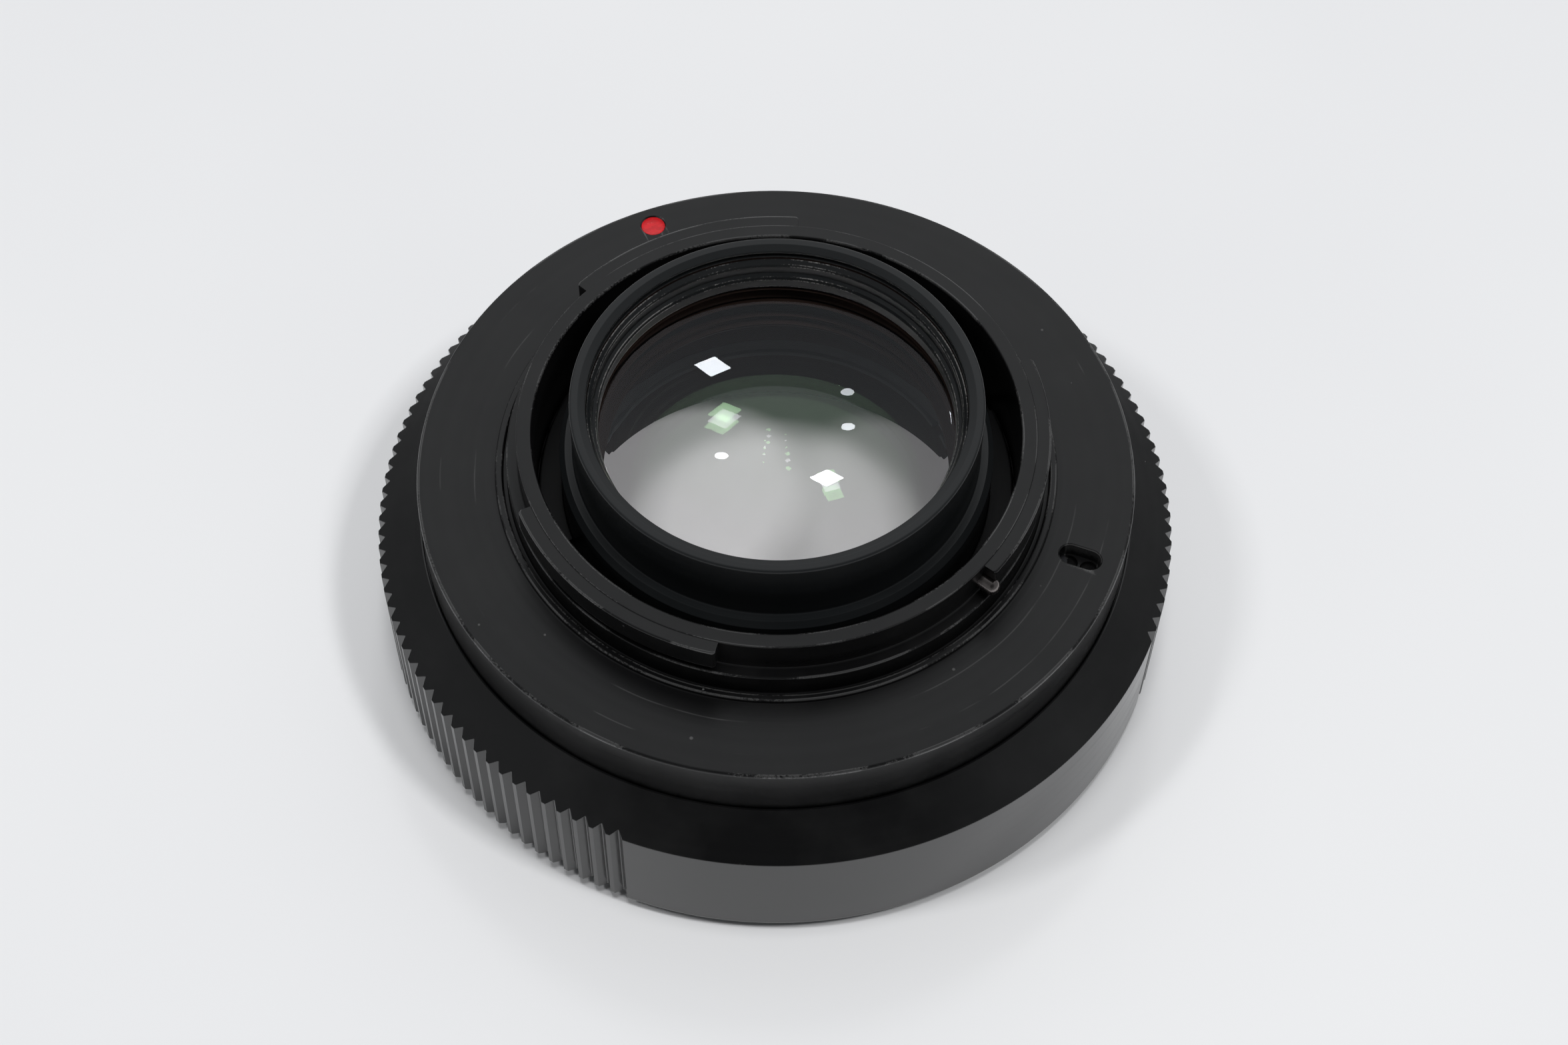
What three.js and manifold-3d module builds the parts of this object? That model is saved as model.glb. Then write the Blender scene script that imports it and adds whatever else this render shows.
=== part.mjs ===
// Camera mount adapter with a built-in negative corrector lens (a Barlow type group).
// Millimetres, +Z up. The origin is on the surface that the adapter stands on, below its
// optical axis. The camera-side bayonet is on top and its red index is towards +Y.
import * as THREE from 'three';
import { mergeVertices } from 'three/addons/utils/BufferGeometryUtils.js';
import Module from 'manifold-3d';

const wasm = await Module();
wasm.setup();

// Resolution of the turned pieces
const facets = 48; // around each large turned piece
const smallFacets = 16; // around screws, pins and holes
const lensSteps = 3; // along each glass surface, from its centre to its edge

// Clearances
const runGap = 0.1; // radial, between pieces that turn on each other
const axialGap = 0.05; // along the axis, between pieces that turn on each other
const fitGap = 0.03; // between pieces that are screwed or pressed together
const slideGap = 0.1; // around the pieces that sweep through a slot or groove

// Details shared by several pieces
const edgeBreak = 0.15; // chamfer of a sharp turned edge
const rootBite = 0.6; // how far tabs and lugs reach into the ring that carries them
const overrun = 1; // how far a cutter runs past the face that it cuts

// Stack along the axis, from the resting face up
const lensMountHeight = 6.4; // neck and lugs of the lens-side mount
const lensMountBaseThickness = 1.4;
const retainerThickness = 0.8;
const bodyHeight = 8.8;
const flangeThickness = 3.0;
const retainerZ = lensMountHeight + lensMountBaseThickness;
const bodyZ = retainerZ + retainerThickness;
const bodyTopZ = bodyZ + bodyHeight;
const flangeTopZ = bodyTopZ + flangeThickness;

// Lens cell and what it holds. Radii run from the glass outwards, each from the one inside it.
const cellBore = 16.84;
const glassRadius = cellBore - fitGap;
const clearAperture = cellBore - 0.94; // free radius inside the retaining ring
const spacerBore = clearAperture + 0.5;
const cellShoulderRadius = clearAperture + 0.5; // seat of the front glass
const tailBore = cellBore + 1.36; // open lower end of the cell
const baffleRadius = tailBore + 0.4;
const reliefRadius = cellBore + 0.46; // thread relief just inside the rim
const tubeWall = 1.43;
const tubeRadius = cellBore + tubeWall;
const ledgeWidth = 1.23;
const cellRadius = tubeRadius + ledgeWidth;
const rimHeight = 9.58; // rim above the flange's top face
const rimFall = 0.3; // slope of the rim towards the bore
const rimEdge = 0.2;
const cellLedgeHeight = 3.0; // ledge above the flange's top face
const ledgeBevel = 0.5;
const cellTail = 4.4; // the cell's lower end above the body's lower face
const tailHeight = 4.8; // from the cell's lower end to the underside of the seat
const cellShoulderThickness = 1.0;
const baffleRecess = 2.0;
const baffleInset = 0.2; // how far the baffle sits up inside the cell's lower end
const baffleAperture = tailBore - 0.3;
const baffleSlotWidth = 1.4;
const baffleSlotDepth = 0.8;
const reliefDrop = 0.25;
const reliefWidth = 0.4;
const frontEdge = 2.2; // thickness of the front glass at its edge
const rearEdge = 3.4; // thickness of the rear glass at its edge
const spacerHeight = 1.0;
const retainingHeight = 3.45;
const retainingStep = { width: 0.45, bevel: 0.55, lowHeight: 1.6, highHeight: 1.9 };
const lockRingThickness = 1.5;
const lockRingGap = 0.2; // radial, between the lock ring and the recess
const lockRingSlot = { width: 1.6, depth: 0.7 };

// Camera-side bayonet and flange
const moatWidth = 2.3; // gap between the lens cell and the bayonet's bore
const neckWall = 1.4;
const bayonetBore = cellRadius + moatWidth;
const neckRadius = bayonetBore + neckWall;
const neckHeight = 5.6;
const collarRadius = neckRadius + 1.1;
const collarHeight = 2.3;
const bossRadius = collarRadius + 1.1;
const bossHeight = 0.5;
const bossGroove = 0.45; // width of the groove between collar and boss
const tabRadius = neckRadius + 1.2;
const tabUndersideHeight = 3.2;
const tabTopDrop = 0.06; // the tabs stop just short of the neck's top face
const tabs = [
  { centre: 89, width: 54 },
  { centre: -34, width: 58 },
  { centre: -153, width: 55 },
];
const flangeLand = 7.1; // width of the flange's flat face, outside the boss
const flangeRadius = bossRadius + flangeLand;
const flangeSideHeight = 5.4; // what shows of the flange's side above the turning ring
const flangeLip = 0.6; // how far the side reaches down inside the turning ring
const flangeEdge = 0.3; // chamfer of the rim
const indexDot = { angle: 90, inset: 2.2, radius: 1.15, depth: 0.5, recess: 0.12, dip: 0.08 };
const lockSlot = {
  angle: -44,
  fromBoss: 1.5,
  fromRim: 1.8,
  width: 2.0,
  depth: 1.5,
  pitDepth: 0.5,
  pitShare: 0.8,
};
const stopPin = { angle: -63.5, radius: 0.75, showing: 1.8, bite: 0.8, height: 3.6, crown: 0.3 };

// Main body, which carries the lens cell and the turning ring
const lipWall = 1.9;
const journalRadius = flangeRadius - lipWall;
const throatRadius = bayonetBore + 2.2;
const webThickness = 3.0; // threaded web that holds the lens cell
const lockRecessDepth = 1.0; // recess in the top face for the cell's lock ring

// Turning grip ring
const coneWidth = 4.34;
const gripRadius = flangeRadius + coneWidth;
const gripHeight = 11.44;
const skirtLift = 1.17; // clearance between the grip's lower edge and the resting face
const coneRise = 2.39; // height of the cone between the grip and the flange
const coneLand = 0.2; // flat at the cone's inner edge
const skirtWall = 2.84;
const skirtRadius = gripRadius - skirtWall;
const gripEdge = 0.25; // chamfer of the skirt's lower edge
const knurlCount = 144; // pitches in a full turn
const plainPitches = 35; // pitches left plain for the thumb, centred on -Y
const knurlDepth = 0.6;
const knurlCrest = 0.25; // flat crest, as a share of the pitch
const washerThickness = 0.4;
const turnRange = 40; // degrees between the two stops

// Lens-side mount
const retainerRadius = skirtRadius - 0.8;
const lensNeckRadius = throatRadius + 1.6;
const lugRadius = lensNeckRadius + 1.6;
const lensBaseRadius = lugRadius + 2.7;
const lugThickness = 1.6;
const lugAngles = [90, 210, 330];
const lugWidth = 50;

// Fasteners. The cross recess is given as shares of the head's radius and height.
const headLand = 0.2; // straight edge of a countersunk head
const crossShare = { length: 1.2, width: 0.28, depth: 0.55 };
const flangeScrew = { shank: 0.9, head: 1.75, headHeight: 1.1, bite: 2.0, sink: 4.0 };
const flangeScrewAngles = [75, 195, 315];
const flangeScrewCircle = (throatRadius + journalRadius) / 2 - 0.4;
const mountScrew = { shank: 0.7, head: 1.15, headHeight: 0.8, bite: 3.4, sink: 0.05 };
const mountScrewAngles = [60, 150, 240, 330];
const mountScrewCircle = (lugRadius + lensBaseRadius) / 2 + 0.05;
const leverScrew = { shank: 0.55, head: 0.95, headHeight: 0.6, bite: 2.2, sink: 0.05 };

// Aperture lever on the turning ring, its stop and its detent
const lever = { reach: 2.4, width: 4.0, thickness: 1.4, endWall: 0.6, screwInset: 1.2 };
const leverInner = throatRadius - lever.reach;
const leverOuter = skirtRadius - lever.endWall;
const leverScrewAt = leverOuter - lever.screwInset;
const drivePin = { radius: 0.75, inset: 1.2, bottomZ: 3.2 };
const drivePinAt = throatRadius - drivePin.inset;
const stopGroove = { inset: 1.25, pinRadius: 0.55, angle: 270, rise: 1.7 };
const stopCircle = journalRadius + runGap + stopGroove.inset;
const detent = { angle: 180, ballRadius: 1.0, showing: 0.4, holeDepth: 5.2, height: 3.4, spring: 0.72 };
const springWire = 0.22;
const springTurns = 5;

// Heights that follow from the sizes above
const flangeLowZ = flangeTopZ - flangeSideHeight - flangeLip;
const coneTopZ = flangeLowZ + flangeLip;
const gripTopZ = skirtLift + gripHeight;
const ribTopZ = flangeLowZ - washerThickness - axialGap;
const ribLowZ = bodyZ + axialGap;
const ringBore = journalRadius + runGap;
const coneTopRadius = flangeRadius + runGap;
const webTopZ = bodyTopZ - lockRecessDepth;
const webLowZ = webTopZ - webThickness;
const rimZ = flangeTopZ + rimHeight;
const ledgeZ = flangeTopZ + cellLedgeHeight;
const cellLowZ = bodyZ + cellTail;
const seatLowZ = cellLowZ + tailHeight;
const shoulderZ = seatLowZ + cellShoulderThickness;
const frontTopZ = shoulderZ + frontEdge;
const spacerTopZ = frontTopZ + spacerHeight;
const rearTopZ = spacerTopZ + rearEdge;
const leverZ = bodyZ + 2 * axialGap;
const leverTopZ = leverZ + lever.thickness;
const detentZ = bodyZ + detent.height;

const radians = THREE.MathUtils.degToRad;

// A closed geometry as a solid, facing out
function toSolid(geometry) {
  geometry.deleteAttribute('normal');
  geometry.deleteAttribute('uv');
  const merged = mergeVertices(geometry, 1e-4);
  const position = merged.attributes.position;
  const index = merged.index.array;
  const corners = [];
  const a = new THREE.Vector3();
  const b = new THREE.Vector3();
  const c = new THREE.Vector3();
  let volume = 0;
  for (let i = 0; i < index.length; i += 3) {
    const [p, q, r] = [index[i], index[i + 1], index[i + 2]];
    if (p !== q && q !== r && r !== p) {
      corners.push([p, q, r]);
      a.fromBufferAttribute(position, p);
      b.fromBufferAttribute(position, q);
      c.fromBufferAttribute(position, r);
      volume += a.dot(b.cross(c));
    }
  }
  if (volume < 0) corners.forEach((corner) => corner.reverse());
  const vertProperties = new Float32Array(position.array);
  const triVerts = new Uint32Array(corners.flat());
  return new wasm.Manifold(new wasm.Mesh({ numProp: 3, vertProperties, triVerts }));
}

function toGeometry(solid) {
  const mesh = solid.getMesh();
  const geometry = new THREE.BufferGeometry();
  geometry.setAttribute('position', new THREE.BufferAttribute(mesh.vertProperties, 3));
  geometry.setIndex(new THREE.BufferAttribute(mesh.triVerts, 1));
  geometry.computeVertexNormals();
  return geometry;
}

// A turned solid about Z. The profile is a list of [radius, height] corners.
function turned(profile, steps = facets) {
  const points = profile.map(([radius, height]) => new THREE.Vector2(radius, height));
  if (profile[0][0] > 0) points.push(points[0].clone());
  const geometry = new THREE.LatheGeometry(points, steps);
  return toSolid(geometry.rotateX(Math.PI / 2));
}

// A prism along Z from a closed outline
function prism(shape, lowZ, highZ, curveSegments = 12) {
  const geometry = new THREE.ExtrudeGeometry(shape, {
    depth: highZ - lowZ,
    bevelEnabled: false,
    curveSegments,
  });
  return toSolid(geometry.translate(0, 0, lowZ));
}

// Part of a ring between two radii and two angles, in degrees
function sector(inner, outer, lowZ, highZ, from, to) {
  const shape = new THREE.Shape();
  shape.absarc(0, 0, outer, radians(from), radians(to), false);
  shape.absarc(0, 0, inner, radians(to), radians(from), true);
  return prism(shape, lowZ, highZ, Math.max(2, Math.round((to - from) / 5)));
}

function cylinder(radius, lowZ, highZ, steps = smallFacets) {
  return turned([[0, lowZ], [radius, lowZ], [radius, highZ], [0, highZ]], steps);
}

function block(sizeX, sizeY, lowZ, highZ) {
  const geometry = new THREE.BoxGeometry(sizeX, sizeY, highZ - lowZ);
  return toSolid(geometry.translate(0, 0, (lowZ + highZ) / 2));
}

// Moves a solid out along X by a distance, then round the axis by an angle in degrees
function around(solid, angle, distance = 0) {
  return solid.translate([distance, 0, 0]).rotate([0, 0, angle]);
}

// A solid that was made along Z, laid along X with its height measured from the axis
function radial(solid, angle, height) {
  return solid.rotate([0, 90, 0]).translate([0, 0, height]).rotate([0, 0, angle]);
}

function subtractAll(solid, cutters) {
  return cutters.reduce((rest, cutter) => rest.subtract(cutter), solid);
}

// Countersunk screw driven from below: the head's lower face is at headZ
function screwProfile(screw, headZ, length, gap) {
  const cone = headZ + screw.headHeight;
  return [
    [0, headZ],
    [screw.head + gap, headZ],
    [screw.head + gap, headZ + headLand],
    [screw.shank + gap, cone],
    [screw.shank + gap, headZ + length + gap],
    [0, headZ + length + gap],
  ];
}

function screwSolid(screw, headZ, length) {
  const blank = turned(screwProfile(screw, headZ, length, 0), smallFacets);
  const driveDepth = headZ + screw.headHeight * crossShare.depth;
  const arm = screw.head * crossShare.length;
  const bladeWidth = screw.head * crossShare.width;
  const blades = [
    block(arm, bladeWidth, headZ - overrun, driveDepth),
    block(bladeWidth, arm, headZ - overrun, driveDepth),
  ];
  return subtractAll(blank, blades);
}

function screwHole(screw, headZ, length) {
  const hole = turned(screwProfile(screw, headZ, length, fitGap), smallFacets);
  return hole.add(cylinder(screw.head + fitGap, headZ - flangeTopZ, headZ + headLand));
}

// Where the three kinds of screw sit
const flangeScrewLength = bodyHeight - flangeScrew.sink + flangeScrew.bite;
const flangeScrewZ = bodyZ + flangeScrew.sink;
const mountScrewZ = lensMountHeight + mountScrew.sink;
const mountScrewLength = bodyZ - mountScrewZ + mountScrew.bite;
const leverScrewZ = leverZ + leverScrew.sink;
const leverScrewLength = leverTopZ - leverScrewZ + leverScrew.bite;
const leverScrewHole = around(screwHole(leverScrew, leverScrewZ, leverScrewLength), 0, leverScrewAt);

function holesFor(screw, headZ, length, angles, circle) {
  return angles.map((angle) => around(screwHole(screw, headZ, length), angle, circle));
}

const flangeScrewHoles = holesFor(
  flangeScrew, flangeScrewZ, flangeScrewLength, flangeScrewAngles, flangeScrewCircle);
const mountScrewHoles = holesFor(
  mountScrew, mountScrewZ, mountScrewLength, mountScrewAngles, mountScrewCircle);

// Camera side: flange, neck and three tabs in one piece
function bayonetFlange() {
  const neckTopZ = flangeTopZ + neckHeight;
  const collarTopZ = flangeTopZ + collarHeight;
  const bossTopZ = flangeTopZ + bossHeight;
  const skirtInner = journalRadius + fitGap;
  const blank = turned([
    [bayonetBore, bodyTopZ],
    [skirtInner, bodyTopZ],
    [skirtInner, flangeLowZ],
    [flangeRadius, flangeLowZ],
    [flangeRadius, flangeTopZ - flangeEdge],
    [flangeRadius - flangeEdge, flangeTopZ],
    [bossRadius, flangeTopZ],
    [bossRadius, bossTopZ - edgeBreak],
    [bossRadius - edgeBreak, bossTopZ],
    [collarRadius + bossGroove, bossTopZ],
    [collarRadius + bossGroove, flangeTopZ],
    [collarRadius, flangeTopZ],
    [collarRadius, collarTopZ],
    [neckRadius, collarTopZ],
    [neckRadius, neckTopZ - edgeBreak],
    [neckRadius - edgeBreak, neckTopZ],
    [bayonetBore, neckTopZ],
  ]);
  const tabRoot = neckRadius - rootBite;
  const tabTopZ = neckTopZ - tabTopDrop;
  const withTabs = tabs.reduce((solid, tab) => {
    const from = tab.centre - tab.width / 2;
    const to = tab.centre + tab.width / 2;
    const lowZ = flangeTopZ + tabUndersideHeight;
    return solid.add(sector(tabRoot, tabRadius, lowZ, tabTopZ, from, to));
  }, blank);
  return subtractAll(withTabs, [...flangeCuts(), ...flangeScrewHoles]);
}

// Pockets of the index, the lock slot and the stop pin
function flangeCuts() {
  const dimpleZ = flangeTopZ - indexDot.depth;
  const dimple = cylinder(indexDot.radius, dimpleZ, flangeTopZ + overrun);
  const slotRadius = lockSlot.width / 2;
  const slotInner = bossRadius + lockSlot.fromBoss;
  const slotOuter = flangeRadius - lockSlot.fromRim;
  const slotCentre = (slotInner + slotOuter) / 2;
  const straight = slotOuter - slotInner - lockSlot.width;
  const slotZ = flangeTopZ - lockSlot.depth;
  const ends = [-1, 1].map((side) => {
    const end = cylinder(slotRadius, slotZ, flangeTopZ + overrun);
    const pit = cylinder(slotRadius * lockSlot.pitShare, slotZ - lockSlot.pitDepth, flangeTopZ);
    return around(end.add(pit), 0, (side * straight) / 2);
  });
  const slot = block(straight, lockSlot.width, slotZ, flangeTopZ + overrun).add(ends[0]).add(ends[1]);
  const pinHole = cylinder(stopPin.radius + fitGap, neckRadius - stopPin.bite, flangeRadius);
  return [
    around(dimple, indexDot.angle, flangeRadius - indexDot.inset),
    around(slot, lockSlot.angle, slotCentre),
    radial(pinHole, stopPin.angle, flangeTopZ + stopPin.height),
  ];
}

function redIndexDot() {
  const lowZ = flangeTopZ - indexDot.depth;
  const topZ = flangeTopZ - indexDot.recess;
  const radius = indexDot.radius - fitGap;
  const dot = turned([
    [0, lowZ],
    [radius, lowZ],
    [radius, topZ],
    [radius / 2, topZ - indexDot.dip],
    [0, topZ - indexDot.dip],
  ], smallFacets);
  return around(dot, indexDot.angle, flangeRadius - indexDot.inset);
}

function bayonetStopPin() {
  const root = neckRadius - stopPin.bite;
  const tip = neckRadius + stopPin.showing;
  const pin = turned([
    [0, root],
    [stopPin.radius, root],
    [stopPin.radius, tip - stopPin.crown],
    [stopPin.radius - stopPin.crown, tip],
    [0, tip],
  ], smallFacets);
  return radial(pin, stopPin.angle, flangeTopZ + stopPin.height);
}

// Body with a journal for the ring, a web for the cell and a channel for the lever
function mainBody() {
  const recessRadius = bayonetBore;
  const webBore = cellRadius + fitGap;
  const blank = turned([
    [throatRadius, bodyZ],
    [journalRadius, bodyZ],
    [journalRadius, bodyTopZ],
    [recessRadius, bodyTopZ],
    [recessRadius, webTopZ],
    [webBore, webTopZ],
    [webBore, webLowZ],
    [throatRadius, webLowZ],
  ]);
  const channelHalf = THREE.MathUtils.radToDeg(Math.asin((lever.width / 2 + slideGap) / throatRadius));
  const channelTopZ = leverTopZ + slideGap;
  const channel = sector(throatRadius - overrun, journalRadius + overrun, bodyZ - overrun, channelTopZ,
    -channelHalf, turnRange + channelHalf);
  const holeStart = journalRadius - detent.holeDepth;
  const ballHole = cylinder(detent.ballRadius + fitGap, holeStart, journalRadius + overrun);
  return subtractAll(blank, [
    channel,
    radial(ballHole, detent.angle, detentZ),
    ...flangeScrewHoles,
    ...mountScrewHoles,
  ]);
}

// Outline of the knurled grip: V grooves between flat crests, and a plain stretch
function gripOutline() {
  const pitch = 360 / knurlCount;
  const start = -90 + (plainPitches * pitch) / 2;
  const points = [];
  const add = (radius, angle) => {
    const turn = radians(angle);
    points.push(new THREE.Vector2(radius * Math.cos(turn), radius * Math.sin(turn)));
  };
  for (let i = 0; i < knurlCount; i += 1) {
    const angle = start + i * pitch;
    add(gripRadius, angle);
    if (i < knurlCount - plainPitches) {
      const crest = (pitch * knurlCrest) / 2;
      add(gripRadius, angle + crest);
      add(gripRadius - knurlDepth, angle + pitch / 2);
      add(gripRadius, angle + pitch - crest);
    }
  }
  return new THREE.Shape(points);
}

function knurledRing() {
  const coneLowZ = gripTopZ;
  const outside = turned([
    [0, skirtLift],
    [gripRadius - gripEdge, skirtLift],
    [gripRadius, skirtLift + gripEdge],
    [gripRadius, coneLowZ],
    [coneTopRadius + coneLand, coneTopZ],
    [0, coneTopZ],
  ], knurlCount).rotate([0, 0, 180 / knurlCount]);
  const toothed = prism(gripOutline(), skirtLift - overrun, coneTopZ + overrun).intersect(outside);
  const inside = turned([
    [0, skirtLift - overrun],
    [skirtRadius, skirtLift - overrun],
    [skirtRadius, ribLowZ],
    [ringBore, ribLowZ],
    [ringBore, ribTopZ],
    [coneTopRadius, ribTopZ],
    [coneTopRadius, coneTopZ + overrun],
    [0, coneTopZ + overrun],
  ]);
  return subtractAll(toothed.subtract(inside), ringCuts());
}

// Notch of the lever, groove of the stop pin and track of the detent ball
function ringCuts() {
  const notchLength = leverOuter - ringBore + fitGap + overrun;
  const notch = block(notchLength, lever.width + 2 * fitGap, ribLowZ - overrun, leverTopZ + fitGap);
  const notchCentre = (leverOuter + fitGap + ringBore - overrun) / 2;
  const halfWidth = stopGroove.pinRadius + slideGap;
  const ends = THREE.MathUtils.radToDeg(Math.asin(halfWidth / stopCircle));
  const groove = sector(stopCircle - halfWidth, stopCircle + halfWidth,
    ribLowZ - overrun, bodyZ + stopGroove.rise + slideGap,
    stopGroove.angle - turnRange - ends, stopGroove.angle + ends);
  const trackHalf = detent.ballRadius + slideGap;
  const trackEnds = THREE.MathUtils.radToDeg(Math.asin(trackHalf / ringBore));
  const track = sector(ringBore - overrun, journalRadius + detent.showing + slideGap,
    detentZ - trackHalf, detentZ + trackHalf,
    detent.angle - turnRange - trackEnds, detent.angle + trackEnds);
  return [around(notch, 0, notchCentre), groove, track, leverScrewHole];
}

function frictionWasher() {
  const inner = journalRadius + runGap;
  const outer = flangeRadius - runGap;
  const lowZ = flangeLowZ - washerThickness;
  return turned([[inner, lowZ], [outer, lowZ], [outer, flangeLowZ], [inner, flangeLowZ]]);
}

function ringRetainer() {
  const blank = turned([
    [throatRadius, retainerZ],
    [retainerRadius, retainerZ],
    [retainerRadius, bodyZ],
    [throatRadius, bodyZ],
  ]);
  const pinHole = cylinder(stopGroove.pinRadius + fitGap, retainerZ - overrun, bodyZ + overrun);
  return subtractAll(blank, [
    ...mountScrewHoles,
    around(pinHole, stopGroove.angle, stopCircle),
  ]);
}

function limitPin() {
  const topZ = bodyZ + stopGroove.rise;
  return around(cylinder(stopGroove.pinRadius, retainerZ, topZ), stopGroove.angle, stopCircle);
}

// Lens side: throat ring with three lugs that a breech-lock ring grips
function lensMountRing() {
  const blank = turned([
    [throatRadius, 0],
    [lensNeckRadius - edgeBreak, 0],
    [lensNeckRadius, edgeBreak],
    [lensNeckRadius, lensMountHeight],
    [lensBaseRadius, lensMountHeight],
    [lensBaseRadius, retainerZ],
    [throatRadius, retainerZ],
  ]);
  const withLugs = lugAngles.reduce((solid, angle) => {
    const from = angle - lugWidth / 2;
    return solid.add(sector(lensNeckRadius - rootBite, lugRadius, 0, lugThickness, from, from + lugWidth));
  }, blank);
  return subtractAll(withLugs, mountScrewHoles);
}

// Lens cell: tube, ledge, rim, thread relief, shoulder and a recess for the baffle
function lensCell() {
  const innerRimZ = rimZ - rimFall;
  const reliefZ = innerRimZ - reliefDrop;
  return turned([
    [cellShoulderRadius, seatLowZ],
    [tailBore, seatLowZ],
    [tailBore, cellLowZ + baffleRecess],
    [baffleRadius, cellLowZ + baffleRecess],
    [baffleRadius, cellLowZ],
    [cellRadius, cellLowZ],
    [cellRadius, ledgeZ - ledgeBevel],
    [cellRadius - ledgeBevel, ledgeZ],
    [tubeRadius, ledgeZ],
    [tubeRadius, rimZ - rimEdge],
    [tubeRadius - rimEdge, rimZ],
    [cellBore, innerRimZ],
    [cellBore, reliefZ],
    [reliefRadius, reliefZ],
    [reliefRadius, reliefZ - reliefWidth],
    [cellBore, reliefZ - reliefWidth],
    [cellBore, shoulderZ],
    [cellShoulderRadius, shoulderZ],
  ]);
}

function cellLockRing() {
  const inner = cellRadius + fitGap;
  const outer = bayonetBore - lockRingGap;
  const topZ = webTopZ + lockRingThickness;
  const blank = turned([[inner, webTopZ], [outer, webTopZ], [outer, topZ], [inner, topZ]]);
  const slot = block(2 * outer + overrun, lockRingSlot.width, topZ - lockRingSlot.depth, topZ + overrun);
  const slots = [slot, slot.rotate([0, 0, 90])];
  return subtractAll(blank, slots);
}

function rearRetainingRing() {
  const outer = glassRadius;
  const topZ = rearTopZ + retainingHeight;
  const stepRadius = clearAperture + retainingStep.width;
  return turned([
    [clearAperture, rearTopZ],
    [outer, rearTopZ],
    [outer, topZ],
    [stepRadius, topZ - retainingStep.bevel],
    [stepRadius, rearTopZ + retainingStep.highHeight],
    [clearAperture, rearTopZ + retainingStep.lowHeight],
  ]);
}

// Height of a spherical surface above its edge, at some radius from the axis
function bulge(radius, sag) {
  const share = radius / clearAperture;
  return sag * (1 - share * share);
}

// A round lens with a flat ring at each edge. A negative sag is a hollow.
function glassElement(edgeLowZ, edgeTopZ, sagBelow, sagAbove) {
  const profile = [];
  for (let i = 0; i <= lensSteps; i += 1) {
    const radius = (clearAperture * i) / lensSteps;
    profile.push([radius, edgeLowZ - bulge(radius, sagBelow)]);
  }
  profile.push([glassRadius, edgeLowZ], [glassRadius, edgeTopZ]);
  for (let i = lensSteps; i >= 0; i -= 1) {
    const radius = (clearAperture * i) / lensSteps;
    profile.push([radius, edgeTopZ + bulge(radius, sagAbove)]);
  }
  return turned(profile);
}

function elementSpacer() {
  return turned([
    [spacerBore, frontTopZ],
    [glassRadius, frontTopZ],
    [glassRadius, spacerTopZ],
    [spacerBore, spacerTopZ],
  ]);
}

function frontBaffleRing() {
  const outer = baffleRadius - fitGap;
  const topZ = cellLowZ + baffleRecess;
  const lowZ = cellLowZ + baffleInset;
  const blank = turned([
    [baffleAperture, lowZ],
    [outer, lowZ],
    [outer, topZ],
    [tailBore, topZ],
  ]);
  return blank.subtract(block(2 * outer + overrun, baffleSlotWidth, lowZ - overrun, lowZ + baffleSlotDepth));
}

// Lever that carries the drive pin into the throat
function apertureLever() {
  const radius = lever.width / 2;
  const straight = leverOuter - leverInner - radius;
  const bar = block(straight, lever.width, leverZ, leverTopZ).translate([leverOuter - straight / 2, 0, 0]);
  const nose = cylinder(radius, leverZ, leverTopZ).translate([leverInner + radius, 0, 0]);
  const pinHole = cylinder(drivePin.radius + fitGap, leverZ - overrun, leverTopZ + overrun)
    .translate([drivePinAt, 0, 0]);
  return subtractAll(bar.add(nose), [pinHole, leverScrewHole]);
}

function leverDrivePin() {
  const pin = turned([
    [0, drivePin.bottomZ],
    [drivePin.radius - edgeBreak, drivePin.bottomZ],
    [drivePin.radius, drivePin.bottomZ + edgeBreak],
    [drivePin.radius, leverTopZ],
    [0, leverTopZ],
  ], smallFacets);
  return pin.translate([drivePinAt, 0, 0]);
}

const ballCentre = journalRadius + detent.showing - detent.ballRadius;

function detentBall() {
  const geometry = new THREE.SphereGeometry(detent.ballRadius, smallFacets, smallFacets / 2);
  return radial(toSolid(geometry).translate([0, 0, ballCentre]), detent.angle, detentZ);
}

// Coil behind the ball, from the bottom of its hole to just short of the ball
function detentSpring() {
  const start = journalRadius - detent.holeDepth + springWire;
  const end = ballCentre - detent.ballRadius - springWire;
  class Coil extends THREE.Curve {
    getPoint(t, target = new THREE.Vector3()) {
      const turn = 2 * Math.PI * springTurns * t;
      return target.set(
        detent.spring * Math.cos(turn), detent.spring * Math.sin(turn), THREE.MathUtils.lerp(start, end, t));
    }
  }
  const wire = new THREE.Shape();
  wire.absarc(0, 0, springWire / 2, 0, 2 * Math.PI);
  const geometry = new THREE.ExtrudeGeometry(wire, {
    steps: springTurns * 10,
    curveSegments: 2,
    extrudePath: new Coil(),
  });
  return radial(toSolid(geometry), detent.angle, detentZ);
}

function finish(color, roughness, metalness) {
  return new THREE.MeshStandardMaterial({ color, roughness, metalness });
}

const blackAnodised = finish(0x17181a, 0.45, 0.6);
const satinAnodised = finish(0x24272b, 0.4, 0.6);
const matteBlack = finish(0x0c0c0c, 0.9, 0.1);
const steel = finish(0xb8b6b0, 0.25, 1.0);
const blackSteel = finish(0x1e1e20, 0.4, 0.9);
const nylon = finish(0xd8d4c8, 0.7, 0.0);
const redPaint = finish(0xd0121c, 0.35, 0.0);
const glass = finish(0xe8f2ee, 0.03, 0.0);
glass.transparent = true;
glass.opacity = 0.3;

const adapter = new THREE.Group();
adapter.name = 'mount_adapter';

function addPart(name, solid, material) {
  const mesh = new THREE.Mesh(toGeometry(solid), material.clone());
  mesh.name = name;
  adapter.add(mesh);
}

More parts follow.
